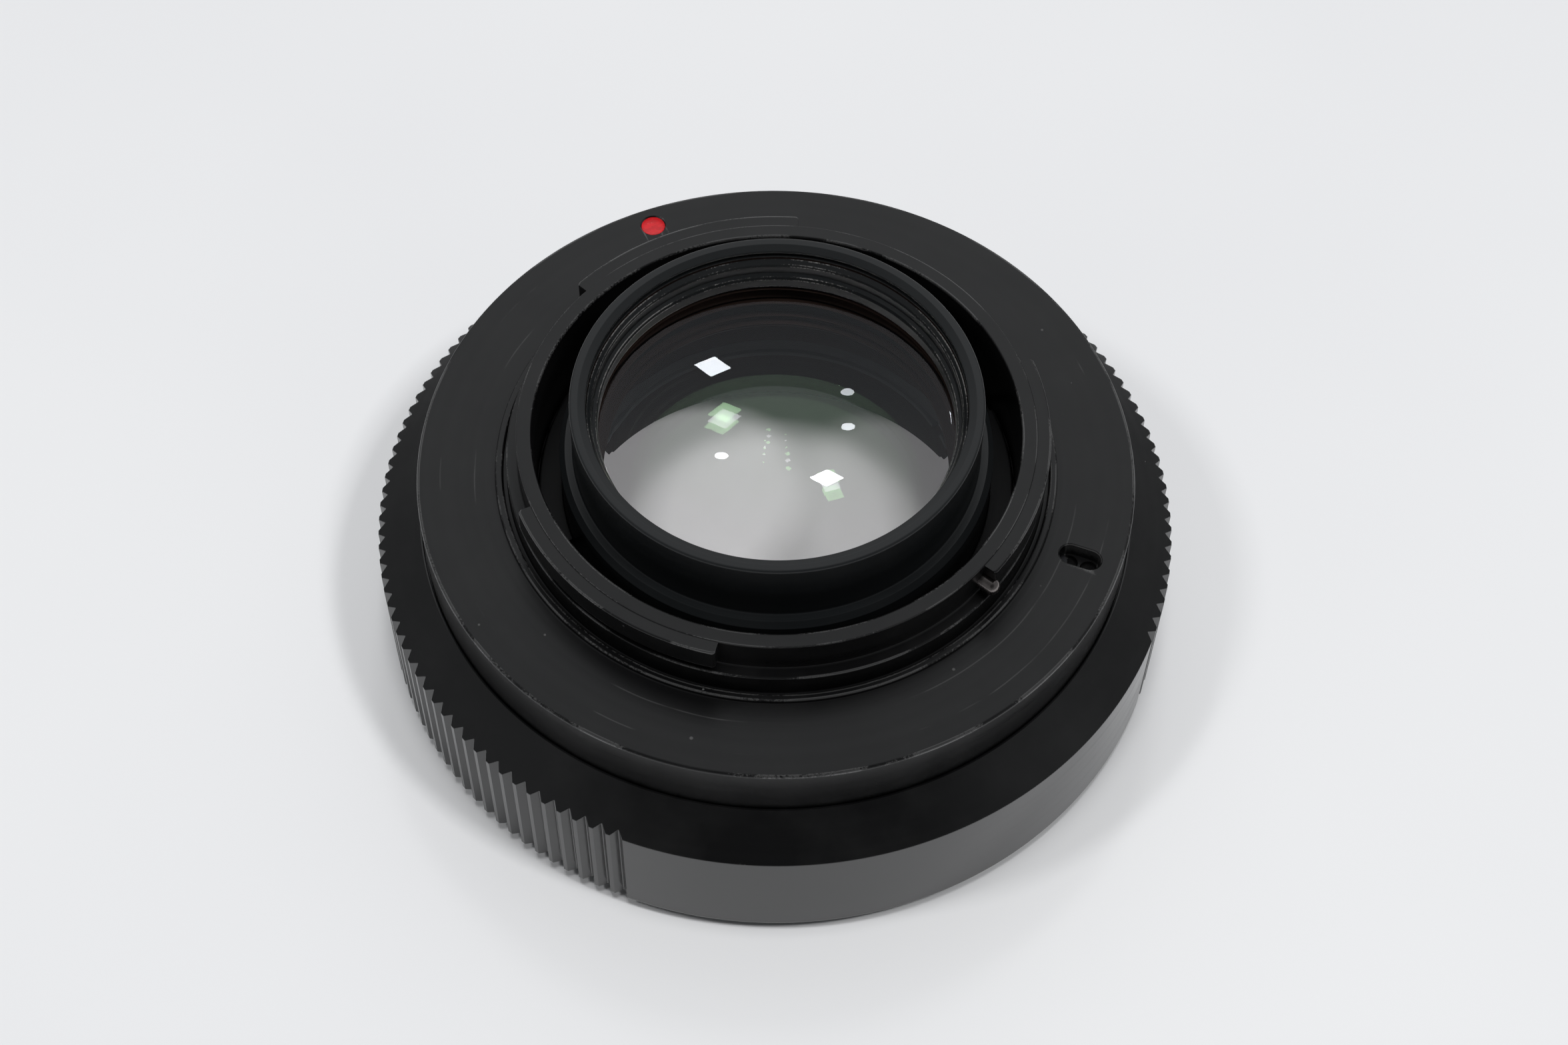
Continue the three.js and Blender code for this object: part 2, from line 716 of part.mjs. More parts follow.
addPart('bayonet_flange', bayonetFlange(), blackAnodised);
addPart('red_index_dot', redIndexDot(), redPaint);
addPart('bayonet_stop_pin', bayonetStopPin(), steel);
addPart('main_body', mainBody(), blackAnodised);
addPart('lens_cell', lensCell(), satinAnodised);
addPart('cell_lock_ring', cellLockRing(), blackAnodised);
addPart('rear_retaining_ring', rearRetainingRing(), satinAnodised);
addPart('rear_element', glassElement(spacerTopZ, rearTopZ, -1.0, -0.9), glass);
addPart('element_spacer', elementSpacer(), matteBlack);
addPart('front_element', glassElement(shoulderZ, frontTopZ, -0.8, 0.9), glass);
addPart('front_baffle_ring', frontBaffleRing(), matteBlack);
addPart('knurled_lock_ring', knurledRing(), blackAnodised);
addPart('friction_washer', frictionWasher(), nylon);
addPart('ring_retainer', ringRetainer(), steel);
addPart('limit_pin', limitPin(), steel);
addPart('lens_mount_ring', lensMountRing(), blackAnodised);
addPart('aperture_lever', apertureLever(), blackSteel);
addPart('lever_drive_pin', leverDrivePin(), steel);
addPart('lever_screw', around(screwSolid(leverScrew, leverScrewZ, leverScrewLength), 0, leverScrewAt), steel);
addPart('detent_ball', detentBall(), steel);
addPart('detent_spring', detentSpring(), steel);

flangeScrewAngles.forEach((angle, i) => {
  const screw = screwSolid(flangeScrew, flangeScrewZ, flangeScrewLength);
  addPart(`flange_screw_${i + 1}`, around(screw, angle, flangeScrewCircle), blackSteel);
});

mountScrewAngles.forEach((angle, i) => {
  const screw = screwSolid(mountScrew, mountScrewZ, mountScrewLength);
  addPart(`lens_mount_screw_${i + 1}`, around(screw, angle, mountScrewCircle), blackSteel);
});

export default adapter;
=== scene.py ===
import math

import bmesh
import bpy
import numpy as np
from mathutils import Matrix, Vector


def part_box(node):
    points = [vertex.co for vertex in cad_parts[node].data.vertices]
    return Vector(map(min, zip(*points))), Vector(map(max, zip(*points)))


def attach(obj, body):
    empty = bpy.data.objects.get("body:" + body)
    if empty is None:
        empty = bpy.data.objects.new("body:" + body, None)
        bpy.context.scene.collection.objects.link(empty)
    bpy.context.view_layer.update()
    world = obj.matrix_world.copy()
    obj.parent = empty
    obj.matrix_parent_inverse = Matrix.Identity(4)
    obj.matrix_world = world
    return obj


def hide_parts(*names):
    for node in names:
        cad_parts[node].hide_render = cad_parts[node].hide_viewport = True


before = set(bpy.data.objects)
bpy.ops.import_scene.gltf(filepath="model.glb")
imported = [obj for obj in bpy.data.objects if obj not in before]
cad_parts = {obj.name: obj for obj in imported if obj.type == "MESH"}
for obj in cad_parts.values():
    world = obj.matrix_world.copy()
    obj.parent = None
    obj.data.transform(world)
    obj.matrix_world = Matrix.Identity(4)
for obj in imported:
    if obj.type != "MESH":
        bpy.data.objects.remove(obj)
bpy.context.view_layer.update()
mm = 0.001
mergeDistance = 0.0004 * mm  # points nearer than this become one
shortEdge = 0.0002 * mm  # edges shorter than this go
wearBand = 0.09  # how far wear reaches from a rounded edge, in mm


# The levels and radii that the pieces are built from, taken from the frame, in mm.
def boxOf(node):
    low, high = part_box(node)
    return {"x0": low.x / mm, "x1": high.x / mm, "y0": low.y / mm, "y1": high.y / mm,
            "z0": low.z / mm, "z1": high.z / mm, "r": high.x / mm,
            "cx": (low.x + high.x) / 2 / mm, "cy": (low.y + high.y) / 2 / mm}


flangeBox = boxOf("bayonet_flange")
ringBox = boxOf("knurled_lock_ring")
cellBox = boxOf("lens_cell")
rearBox = boxOf("rear_element")
frontBox = boxOf("front_element")
spacerBox = boxOf("element_spacer")
retainingBox = boxOf("rear_retaining_ring")
baffleBox = boxOf("front_baffle_ring")
cellLockBox = boxOf("cell_lock_ring")
bodyBox = boxOf("main_body")
plateBox = boxOf("ring_retainer")
lensMountBox = boxOf("lens_mount_ring")
flangeThickness = 3.0
flangeTop = bodyBox["z1"] + flangeThickness  # the flat face that meets the camera
rearEdges = (spacerBox["z1"], retainingBox["z0"])  # heights of the two glasses at their rims
frontEdges = (frontBox["z0"], spacerBox["z0"])
print("frame loaded, flange face at", round(flangeTop, 2), "mm")


def roundedOutline(points, steps=3):
    # Rounds the corners of a closed outline. A point is (r, z) or (r, z, corner radius).
    # Gives (r, z, wear), where wear is 1 on an outward corner and 0 just beside it.
    out = []
    count = len(points)
    area = sum(points[i][0] * points[(i + 1) % count][1] - points[(i + 1) % count][0] * points[i][1]
               for i in range(count))
    for i, point in enumerate(points):
        size = point[2] if len(point) > 2 else 0.0
        if size == 0:
            out.append((point[0], point[1], 0.0))
            continue
        here = np.array(point[:2], float)
        back = np.array(points[i - 1][:2], float) - here
        ahead = np.array(points[(i + 1) % count][:2], float) - here
        backLength, aheadLength = np.hypot(*back), np.hypot(*ahead)
        if min(backLength, aheadLength) < 1e-7:
            out += [(point[0], point[1], 0.0)] * (steps + 3)
            continue
        back, ahead = back / backLength, ahead / aheadLength
        turn = math.acos(max(-1, min(1, float(back @ ahead))))
        cut = min(size / math.tan(turn / 2), 0.47 * backLength, 0.47 * aheadLength)
        bow = cut * math.tan(turn / 2)
        centre = here + (back + ahead) / np.linalg.norm(back + ahead) * (bow / math.sin(turn / 2))
        first, last = here + back * cut - centre, here + ahead * cut - centre
        sweep = math.pi - turn
        cross = back[0] * ahead[1] - back[1] * ahead[0]
        outward = 1.0 if cross * area < 0 else 0.0
        before = here + back * (cut + min(wearBand, 0.8 * (0.5 * backLength - cut)))
        after = here + ahead * (cut + min(wearBand, 0.8 * (0.5 * aheadLength - cut)))
        out.append((before[0], before[1], 0.0))
        for k in range(steps + 1):
            t = k / steps
            a, b = math.sin((1 - t) * sweep) / math.sin(sweep), math.sin(t * sweep) / math.sin(sweep)
            p = centre + first * a + last * b
            out.append((p[0], p[1], outward))
        out.append((after[0], after[1], 0.0))
    return out


def cleanMesh(mesh, turnOut=False):
    b = bmesh.new()
    b.from_mesh(mesh)
    bmesh.ops.remove_doubles(b, verts=b.verts, dist=mergeDistance)
    bmesh.ops.dissolve_degenerate(b, edges=b.edges, dist=shortEdge)
    if turnOut:  # all faces look outwards
        bmesh.ops.recalc_face_normals(b, faces=b.faces)
    b.to_mesh(mesh)
    b.free()


def meshFrom(name, vertices, faces, wear=None):
    mesh = bpy.data.meshes.new(name)
    mesh.from_pydata([tuple(c * mm for c in v) for v in vertices], [], faces)
    layer = mesh.attributes.new("edgeWear", "FLOAT", "POINT")
    layer.data.foreach_set("value", np.array(wear if wear is not None else [0] * len(vertices), np.float32))
    piece = bpy.data.objects.new(name, mesh)
    bpy.context.scene.collection.objects.link(piece)
    cleanMesh(mesh, turnOut=True)
    return piece


def sweepRing(name, outlineAt, angles):
    # Sweeps an outline round the axis. The outline may change with the angle, in degrees.
    vertices, wear, faces = [], [], []
    for angle in angles:
        c, s = math.cos(math.radians(angle)), math.sin(math.radians(angle))
        for r, z, w in outlineAt(angle):
            vertices.append((r * c, r * s, z))
            wear.append(w)
    n = len(vertices) // len(angles)
    for i in range(len(angles)):
        j = (i + 1) % len(angles)
        for k in range(n):
            m = (k + 1) % n
            faces.append((i * n + k, j * n + k, j * n + m, i * n + m))
    return meshFrom(name, vertices, faces, wear)


def evenAngles(count, extra=()):
    angles = sorted({round(a % 360, 4) for a in [360 * i / count for i in range(count)] + list(extra)})
    keep = {round(a % 360, 4) for a in extra}
    out = []
    for a in angles:  # an even step goes where it lies too close to a wanted one
        if a in keep or all(abs((a - k + 180) % 360 - 180) > 0.3 for k in keep):
            out.append(a)
    return out


def turnRing(name, outline, count=256, steps=3):
    rounded = roundedOutline(outline, steps)
    return sweepRing(name, lambda angle: rounded, evenAngles(count))


def cutWith(piece, cutters):
    for cutter in cutters:
        change = piece.modifiers.new("cut", "BOOLEAN")
        change.operation = "DIFFERENCE"
        change.solver = "EXACT"
        change.object = cutter
    bpy.context.view_layer.update()
    done = piece.evaluated_get(bpy.context.evaluated_depsgraph_get())
    mesh = bpy.data.meshes.new_from_object(done)
    piece.modifiers.clear()
    old = piece.data
    piece.data = mesh
    bpy.data.meshes.remove(old)
    for cutter in cutters:
        bpy.data.objects.remove(cutter)
    cleanMesh(mesh)
    return piece


def stackedLoops(name, loops, matrix=None):
    # A closed solid through loops of (x, y) points, given with their heights.
    vertices, faces = [], []
    n = len(loops[0][0])
    for loop, z in loops:
        vertices += [(x, y, z) for x, y in loop]
    for i in range(len(loops) - 1):
        for k in range(n):
            m = (k + 1) % n
            faces.append((i * n + k, i * n + m, (i + 1) * n + m, (i + 1) * n + k))
    faces.append(tuple(reversed(range(n))))
    faces.append(tuple(range((len(loops) - 1) * n, len(loops) * n)))
    if matrix is not None:
        vertices = [tuple(matrix @ Vector(v)) for v in vertices]
    return meshFrom(name, vertices, faces)


def stadium(length, width, grow=0.0, steps=10):
    radius, half = width / 2 + grow, (length - width) / 2
    points = []
    for side in (0, 1):
        for k in range(steps + 1):
            a = math.radians(-90 + 180 * side + 180 * k / steps)
            points.append(((half if side == 0 else -half) + radius * math.cos(a), radius * math.sin(a)))
    return points


def barLoop(halfLength, halfWidth):
    return [(-halfLength, -halfWidth), (halfLength, -halfWidth), (halfLength, halfWidth),
            (-halfLength, halfWidth)]


def circle(radius, steps=32):
    return [(radius * math.cos(2 * math.pi * k / steps), radius * math.sin(2 * math.pi * k / steps))
            for k in range(steps)]


def roundSolid(name, profile, matrix, steps=32):
    # A closed solid turned round Z through (radius, height) points.
    return stackedLoops(name, [(circle(r, steps), z) for r, z in profile], matrix)


def around(angle, radius):
    # Carries a piece built at the origin out to a radius and round to an angle.
    return Matrix.Rotation(math.radians(angle), 4, "Z") @ Matrix.Translation((radius, 0, 0))


def outwards(angle, z):
    # Turns a piece built along Z so that it points away from the axis, at height z.
    return (Matrix.Translation((0, 0, z)) @ Matrix.Rotation(math.radians(angle), 4, "Z")
            @ Matrix.Rotation(math.radians(90), 4, "Y"))


def paintFaces(piece, material, chosen):
    # Gives a second finish to the faces that the test picks, by radius, height and slope
    piece.data.materials.append(material)
    index = len(piece.data.materials) - 1
    for face in piece.data.polygons:
        centre = face.center
        if chosen(math.hypot(centre.x, centre.y) / mm, centre.z / mm, face.normal.z):
            face.material_index = index


def finishPiece(piece, body, nodes, material, sharpAngle=38):
    mesh = piece.data
    mesh.polygons.foreach_set("use_smooth", [True] * len(mesh.polygons))
    mesh.set_sharp_from_angle(angle=math.radians(sharpAngle))
    weight = piece.modifiers.new("weighted normals", "WEIGHTED_NORMAL")
    weight.keep_sharp = True
    weight.weight = 100
    piece.data.materials.clear()
    piece.data.materials.append(material)
    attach(piece, body)
    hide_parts(*nodes)
    print("made", piece.name, len(piece.data.polygons), "faces")
    return piece


def newGroup(name, inputs, outputs):
    tree = bpy.data.node_groups.new(name, "ShaderNodeTree")
    for label, value in inputs:
        socket = tree.interface.new_socket(name=label, in_out="INPUT", socket_type="NodeSocketFloat")
        socket.default_value = value
    for label, kind in outputs:
        tree.interface.new_socket(name=label, in_out="OUTPUT", socket_type=kind)
    return tree, tree.nodes.new("NodeGroupInput"), tree.nodes.new("NodeGroupOutput")


def mathNode(tree, operation, a, b=None, clamp=False):
    node = tree.nodes.new("ShaderNodeMath")
    node.operation = operation
    node.use_clamp = clamp
    for i, value in enumerate((a, b)):
        if value is None:
            continue
        if hasattr(value, "links"):
            tree.links.new(value, node.inputs[i])
        else:
            node.inputs[i].default_value = value
    return node.outputs[0]


def rangeNode(tree, value, low, high, outLow=0.0, outHigh=1.0):
    node = tree.nodes.new("ShaderNodeMapRange")
    node.clamp = True
    for i, v in enumerate((value, low, high, outLow, outHigh)):
        if hasattr(v, "links"):
            tree.links.new(v, node.inputs[i])
        else:
            node.inputs[i].default_value = v
    return node.outputs[0]


def noiseNode(tree, vector, scale, detail=2.0, roughness=0.5, w=None):
    node = tree.nodes.new("ShaderNodeTexNoise")
    node.inputs["Scale"].default_value = scale
    node.inputs["Detail"].default_value = detail
    node.inputs["Roughness"].default_value = roughness
    if w is not None:
        node.noise_dimensions = "4D"
        tree.links.new(w, node.inputs["W"])
    tree.links.new(vector, node.inputs["Vector"])
    return node.outputs["Fac"]


def scaleVector(tree, vector, factor):
    node = tree.nodes.new("ShaderNodeVectorMath")
    node.operation = "SCALE"
    tree.links.new(vector, node.inputs[0])
    if hasattr(factor, "links"):
        tree.links.new(factor, node.inputs["Scale"])
    else:
        node.inputs["Scale"].default_value = factor
    return node.outputs[0]


def placeVector(tree):
    # Object coordinates in mm
    return scaleVector(tree, tree.nodes.new("ShaderNodeTexCoord").outputs["Object"], 1000.0)


def blendValues(tree, a, shareA, b, shareB):
    return mathNode(tree, "ADD", mathNode(tree, "MULTIPLY", a, shareA), mathNode(tree, "MULTIPLY", b, shareB))


def axisRadius(tree, place):
    # Distance from the axis, with the three coordinates it comes from
    parts = tree.nodes.new("ShaderNodeSeparateXYZ")
    tree.links.new(place, parts.inputs[0])
    x, y, z = parts.outputs
    squares = mathNode(tree, "ADD", mathNode(tree, "MULTIPLY", x, x), mathNode(tree, "MULTIPLY", y, y))
    return mathNode(tree, "SQRT", squares), x, y, z


def turnedLinesGroup():
    # Fine lines left by the lathe: they run round the axis and change with radius and height.
    tree, start, end = newGroup(
        "turned lines",
        [("Lines per mm", 6.0), ("Run", 2.0), ("Break up", 0.3)],
        [("Height", "NodeSocketFloat"), ("Tone", "NodeSocketFloat")])
    place = placeVector(tree)
    radius, x, y, z = axisRadius(tree, place)
    cosine = mathNode(tree, "DIVIDE", x, mathNode(tree, "MAXIMUM", radius, 0.01))
    sine = mathNode(tree, "DIVIDE", y, mathNode(tree, "MAXIMUM", radius, 0.01))
    lines = start.outputs["Lines per mm"]
    run = start.outputs["Run"]
    vector = tree.nodes.new("ShaderNodeCombineXYZ")
    tree.links.new(mathNode(tree, "MULTIPLY", radius, lines), vector.inputs[0])
    tree.links.new(mathNode(tree, "MULTIPLY", z, lines), vector.inputs[1])
    tree.links.new(mathNode(tree, "MULTIPLY", cosine, run), vector.inputs[2])
    w = mathNode(tree, "MULTIPLY", sine, run)
    fine = noiseNode(tree, vector.outputs[0], 1.0, 3.0, 0.6, w)
    broad = noiseNode(tree, vector.outputs[0], 0.16, 2.0, 0.5, w)
    patchy = noiseNode(tree, place, 0.35, 2.0)
    gaps = mathNode(tree, "MULTIPLY", patchy, start.outputs["Break up"])
    strength = mathNode(tree, "SUBTRACT", 1.0, gaps)
    tree.links.new(mathNode(tree, "MULTIPLY", mathNode(tree, "SUBTRACT", fine, 0.5), strength),
                   end.inputs["Height"])
    tree.links.new(blendValues(tree, fine, 0.4, broad, 0.6), end.inputs["Tone"])
    return tree


def edgeWearGroup():
    # Where the finish has rubbed off: rounded outer edges, in broken stretches.
    tree, start, end = newGroup(
        "edge wear",
        [("Amount", 0.4), ("Patch size", 2.0)],
        [("Mask", "NodeSocketFloat")])
    place = placeVector(tree)
    edge = tree.nodes.new("ShaderNodeAttribute")
    edge.attribute_name = "edgeWear"
    spread = scaleVector(tree, place, mathNode(tree, "DIVIDE", 1.0, start.outputs["Patch size"]))
    patches = noiseNode(tree, spread, 0.5, 2.0, 0.5)
    chips = noiseNode(tree, place, 5.0, 3.0, 0.7)
    level = blendValues(tree, patches, 0.65, chips, 0.35)
    low = mathNode(tree, "SUBTRACT", 0.78, mathNode(tree, "MULTIPLY", start.outputs["Amount"], 0.5))
    mask = rangeNode(tree, level, low, mathNode(tree, "ADD", low, 0.09))
    nearEdge = mathNode(tree, "POWER", edge.outputs["Fac"], 2.0)
    tree.links.new(mathNode(tree, "MULTIPLY", mask, nearEdge, True), end.inputs["Mask"])
    return tree


def dustGroup():
    # A few pale specks, each in its own cell of the surface
    tree, start, end = newGroup(
        "dust",
        [("Cell", 2.2), ("Share", 0.12), ("Size", 0.07)],
        [("Mask", "NodeSocketFloat"), ("Haze", "NodeSocketFloat")])
    place = placeVector(tree)
    shrunk = scaleVector(tree, place, mathNode(tree, "DIVIDE", 1.0, start.outputs["Cell"]))
    cells = tree.nodes.new("ShaderNodeTexVoronoi")
    cells.inputs["Scale"].default_value = 1.0
    tree.links.new(shrunk, cells.inputs["Vector"])
    parts = tree.nodes.new("ShaderNodeSeparateColor")
    tree.links.new(cells.outputs["Color"], parts.inputs[0])
    chosen = mathNode(tree, "LESS_THAN", parts.outputs[0], start.outputs["Share"])
    size = mathNode(tree, "DIVIDE", mathNode(tree, "MULTIPLY", start.outputs["Size"],
                                             mathNode(tree, "ADD", 0.4, parts.outputs[1])),
                    start.outputs["Cell"])
    spot = rangeNode(tree, cells.outputs["Distance"], mathNode(tree, "MULTIPLY", size, 0.6), size, 1.0, 0.0)
    tree.links.new(mathNode(tree, "MULTIPLY", spot, chosen), end.inputs["Mask"])
    haze = rangeNode(tree, noiseNode(tree, place, 0.12, 4.0, 0.6), 0.42, 0.75)
    tree.links.new(haze, end.inputs["Haze"])
    return tree


def blastGroup():
    # The fine pebble of a blasted and anodised surface
    tree, start, end = newGroup("blasted grain", [("Grains per mm", 9.0)], [("Height", "NodeSocketFloat")])
    grain = noiseNode(tree, scaleVector(tree, placeVector(tree), start.outputs[0]), 1.0, 3.0, 0.65)
    tree.links.new(mathNode(tree, "SUBTRACT", grain, 0.5), end.inputs["Height"])
    return tree


def rubRingGroup():
    # Thin broken arcs where the camera's flange has rubbed the face
    tree, start, end = newGroup("rubbed arcs", [("Radius", 27.3), ("Width", 0.05), ("Amount", 0.4)],
                                [("Mask", "NodeSocketFloat")])
    place = placeVector(tree)
    radius = axisRadius(tree, place)[0]
    wander = mathNode(tree, "SUBTRACT", noiseNode(tree, place, 0.12, 1.0), 0.5)
    radius = mathNode(tree, "ADD", radius, mathNode(tree, "MULTIPLY", wander, 0.3))
    off = mathNode(tree, "ABSOLUTE", mathNode(tree, "SUBTRACT", radius, start.outputs["Radius"]))
    line = rangeNode(tree, off, 0.0, start.outputs["Width"], 1.0, 0.0)
    low = mathNode(tree, "SUBTRACT", 0.75, mathNode(tree, "MULTIPLY", start.outputs["Amount"], 0.5))
    patches = noiseNode(tree, place, 0.09, 3.0, 0.55)
    stretch = rangeNode(tree, patches, low, mathNode(tree, "ADD", low, 0.08))
    tree.links.new(mathNode(tree, "MULTIPLY", line, stretch), end.inputs["Mask"])
    return tree


groups = {
    "rub": rubRingGroup(),
    "lines": turnedLinesGroup(),
    "wear": edgeWearGroup(),
    "dust": dustGroup(),
    "grain": blastGroup(),
}


def newMaterial(name):
    material = bpy.data.materials.new(name)
    material.use_nodes = True
    tree = material.node_tree
    return material, tree, tree.nodes["Principled BSDF"]


def useGroup(tree, key, **values):
    node = tree.nodes.new("ShaderNodeGroup")
    node.node_tree = groups[key]
    for label, value in values.items():
        node.inputs[label.replace("_", " ")].default_value = value
    return node


def mixColours(tree, factor, a, b):
    node = tree.nodes.new("ShaderNodeMix")
    node.data_type = "RGBA"
    colourA, colourB = [s for s in node.inputs if s.type == "RGBA"][:2]
    for socket, value in ((colourA, a), (colourB, b)):
        if hasattr(value, "links"):
            tree.links.new(value, socket)
        else:
            socket.default_value = (*value, 1)
    if hasattr(factor, "links"):
        tree.links.new(factor, node.inputs["Factor"])
    else:
        node.inputs["Factor"].default_value = factor
    return [s for s in node.outputs if s.type == "RGBA"][0]


def bumpFrom(tree, height, strength, distance, normal=None):
    node = tree.nodes.new("ShaderNodeBump")
    node.inputs["Strength"].default_value = strength
    node.inputs["Distance"].default_value = distance * mm
    tree.links.new(height, node.inputs["Height"])
    if normal is not None:
        tree.links.new(normal, node.inputs["Normal"])
    return node.outputs["Normal"]


def anodised(name, look):
    # Black or dark satin finish on a turned piece, with lathe lines, wear and dust
    material, tree, shader = newMaterial(name)
    links = tree.links
    lines = useGroup(tree, "lines", Lines_per_mm=look["linesPerMm"], Run=look["run"], Break_up=0.5)
    grain = useGroup(tree, "grain", Grains_per_mm=look["grainsPerMm"])
    wear = useGroup(tree, "wear", Amount=look["wear"], Patch_size=look["patchSize"])
    dust = useGroup(tree, "dust", Cell=look["dustCell"], Share=look["dustShare"], Size=look["dustSize"])
    base = mixColours(tree, lines.outputs["Tone"], look["darkColour"], look["lightColour"])
    haze = mathNode(tree, "MULTIPLY", dust.outputs["Haze"], look["haze"])
    hazy = mixColours(tree, haze, base, look["hazeColour"])
    specks = mathNode(tree, "MULTIPLY", dust.outputs["Mask"], look["dustLevel"])
    dusty = mixColours(tree, specks, hazy, look["dustColour"])
    for radius in look.get("rubRings", ()):
        rub = useGroup(tree, "rub", Radius=radius, Width=look["rubWidth"], Amount=look["rubAmount"])
        arcs = mathNode(tree, "MULTIPLY", rub.outputs["Mask"], look["rubLevel"])
        dusty = mixColours(tree, arcs, dusty, look["rubColour"])
    worn = mixColours(tree, wear.outputs["Mask"], dusty, look["bareColour"])
    links.new(worn, shader.inputs["Base Color"])
    links.new(mathNode(tree, "MULTIPLY", wear.outputs["Mask"], 0.9), shader.inputs["Metallic"])
    rough = rangeNode(tree, lines.outputs["Tone"], 0.25, 0.75, look["roughness"] - 0.05,
                      look["roughness"] + 0.07)
    rough = mathNode(tree, "ADD", rough, mathNode(tree, "MULTIPLY", dust.outputs["Haze"], 0.06))
    rough = mathNode(tree, "ADD", rough, mathNode(tree, "MULTIPLY", dust.outputs["Mask"], 0.4), True)
    links.new(rough, shader.inputs["Roughness"])
    normal = bumpFrom(tree, grain.outputs["Height"], look["grainStrength"], 0.01)
    normal = bumpFrom(tree, lines.outputs["Height"], look["lineStrength"], 0.006, normal)
    links.new(normal, shader.inputs["Normal"])
    shader.inputs["Specular IOR Level"].default_value = look.get("gloss", 0.5)
    return material


blackFinish = {
    "darkColour": (0.0018, 0.0018, 0.002), "lightColour": (0.0038, 0.0038, 0.004), "roughness": 0.3,
    "linesPerMm": 7.0, "run": 1.2, "lineStrength": 0.3, "grainsPerMm": 14.0, "grainStrength": 0.12,
    "wear": 0.4, "patchSize": 3.0, "bareColour": (0.42, 0.41, 0.4),
    "haze": 0.25, "hazeColour": (0.02, 0.02, 0.02),
    "dustCell": 2.6, "dustShare": 0.2, "dustSize": 0.09, "dustLevel": 0.4, "dustColour": (0.3, 0.3, 0.3),
}
satinFinish = dict(
    blackFinish, darkColour=(0.0056, 0.0064, 0.0068), lightColour=(0.0096, 0.0108, 0.0118), roughness=0.36,
    lineStrength=0.18, grainStrength=0.2, wear=0.1, haze=0.15, dustShare=0.08)
gripFinish = dict(
    blackFinish, roughness=0.16, lineStrength=0.1, grainStrength=0.06, wear=0.2, dustShare=0.1, gloss=0.66)
retainingFinish = dict(satinFinish, wear=0.6, patchSize=6.0, roughness=0.3)
matteFinish = dict(
    blackFinish, darkColour=(0.006, 0.006, 0.006), lightColour=(0.012, 0.012, 0.012), roughness=0.8,
    wear=0.0, grainStrength=0.4)
paintFinish = dict(
    matteFinish, darkColour=(0.015, 0.0092, 0.0075), lightColour=(0.02, 0.0135, 0.0115), gloss=0.15,
    roughness=0.9, grainStrength=0.0, grainsPerMm=1.0, lineStrength=0.0, linesPerMm=0.5, haze=0.0,
    dustShare=0.02)
insideFinish = dict(blackFinish, roughness=0.5, wear=0.05, dustShare=0.3, dustSize=0.09)
flangeFinish = dict(
    blackFinish, rubRings=(27.3, 30.4), rubWidth=0.09, rubAmount=0.45, rubLevel=0.13,
    rubColour=(0.2, 0.2, 0.2), wear=0.62, bareColour=(0.14, 0.14, 0.14), dustShare=0.32, dustSize=0.15,
    dustLevel=0.22)

blackAnodised = anodised("black anodised", blackFinish)
flangeAnodised = anodised("black anodised flange", flangeFinish)
gripAnodised = anodised("black anodised grip", gripFinish)
satinAnodised = anodised("satin anodised", satinFinish)
matteBlack = anodised("matte black", matteFinish)
insideBlack = anodised("black anodised inside", insideFinish)
retainingAnodised = anodised("satin anodised ring", retainingFinish)
insideMatte = anodised("matte black paint", paintFinish)


def steelMaterial(name, look):
    material, tree, shader = newMaterial(name)
    lines = useGroup(tree, "lines", Lines_per_mm=9.0, Run=3.0, Break_up=0.6)
    grain = useGroup(tree, "grain", Grains_per_mm=look["grainsPerMm"])
    dust = useGroup(tree, "dust", Cell=1.5, Share=0.15, Size=0.05)
    base = mixColours(tree, lines.outputs["Tone"], look["darkColour"], look["lightColour"])
    spotted = mixColours(tree, dust.outputs["Mask"], base, look["darkColour"])
    tree.links.new(spotted, shader.inputs["Base Color"])
    shader.inputs["Metallic"].default_value = 1.0
    rough = rangeNode(tree, lines.outputs["Tone"], 0.2, 0.8, look["roughness"] - 0.07,
                      look["roughness"] + 0.1)
    tree.links.new(rough, shader.inputs["Roughness"])
    normal = bumpFrom(tree, grain.outputs["Height"], 0.3, 0.01)
    tree.links.new(bumpFrom(tree, lines.outputs["Height"], 0.25, 0.006, normal), shader.inputs["Normal"])
    return material


brightSteel = steelMaterial("bright steel", {
    "darkColour": (0.42, 0.41, 0.4), "lightColour": (0.68, 0.67, 0.65), "roughness": 0.24,
    "grainsPerMm": 6.0})
pinSteel = steelMaterial("pin steel", {
    "darkColour": (0.13, 0.115, 0.11), "lightColour": (0.36, 0.33, 0.32), "roughness": 0.22,
    "grainsPerMm": 2.5})
blackSteel = steelMaterial("black steel", {
    "darkColour": (0.02, 0.02, 0.022), "lightColour": (0.06, 0.06, 0.063), "roughness": 0.36,
    "grainsPerMm": 8.0})


def nylonMaterial():
    material, tree, shader = newMaterial("nylon")
    grain = useGroup(tree, "grain", Grains_per_mm=5.0)
    lines = useGroup(tree, "lines", Lines_per_mm=4.0, Run=2.0, Break_up=0.5)
    tree.links.new(mixColours(tree, lines.outputs["Tone"], (0.6, 0.57, 0.5), (0.78, 0.76, 0.7)),
                   shader.inputs["Base Color"])
    tree.links.new(rangeNode(tree, lines.outputs["Tone"], 0.2, 0.8, 0.5, 0.7), shader.inputs["Roughness"])
    tree.links.new(bumpFrom(tree, grain.outputs["Height"], 0.3, 0.02), shader.inputs["Normal"])
    shader.inputs["Subsurface Weight"].default_value = 0.1
    return material


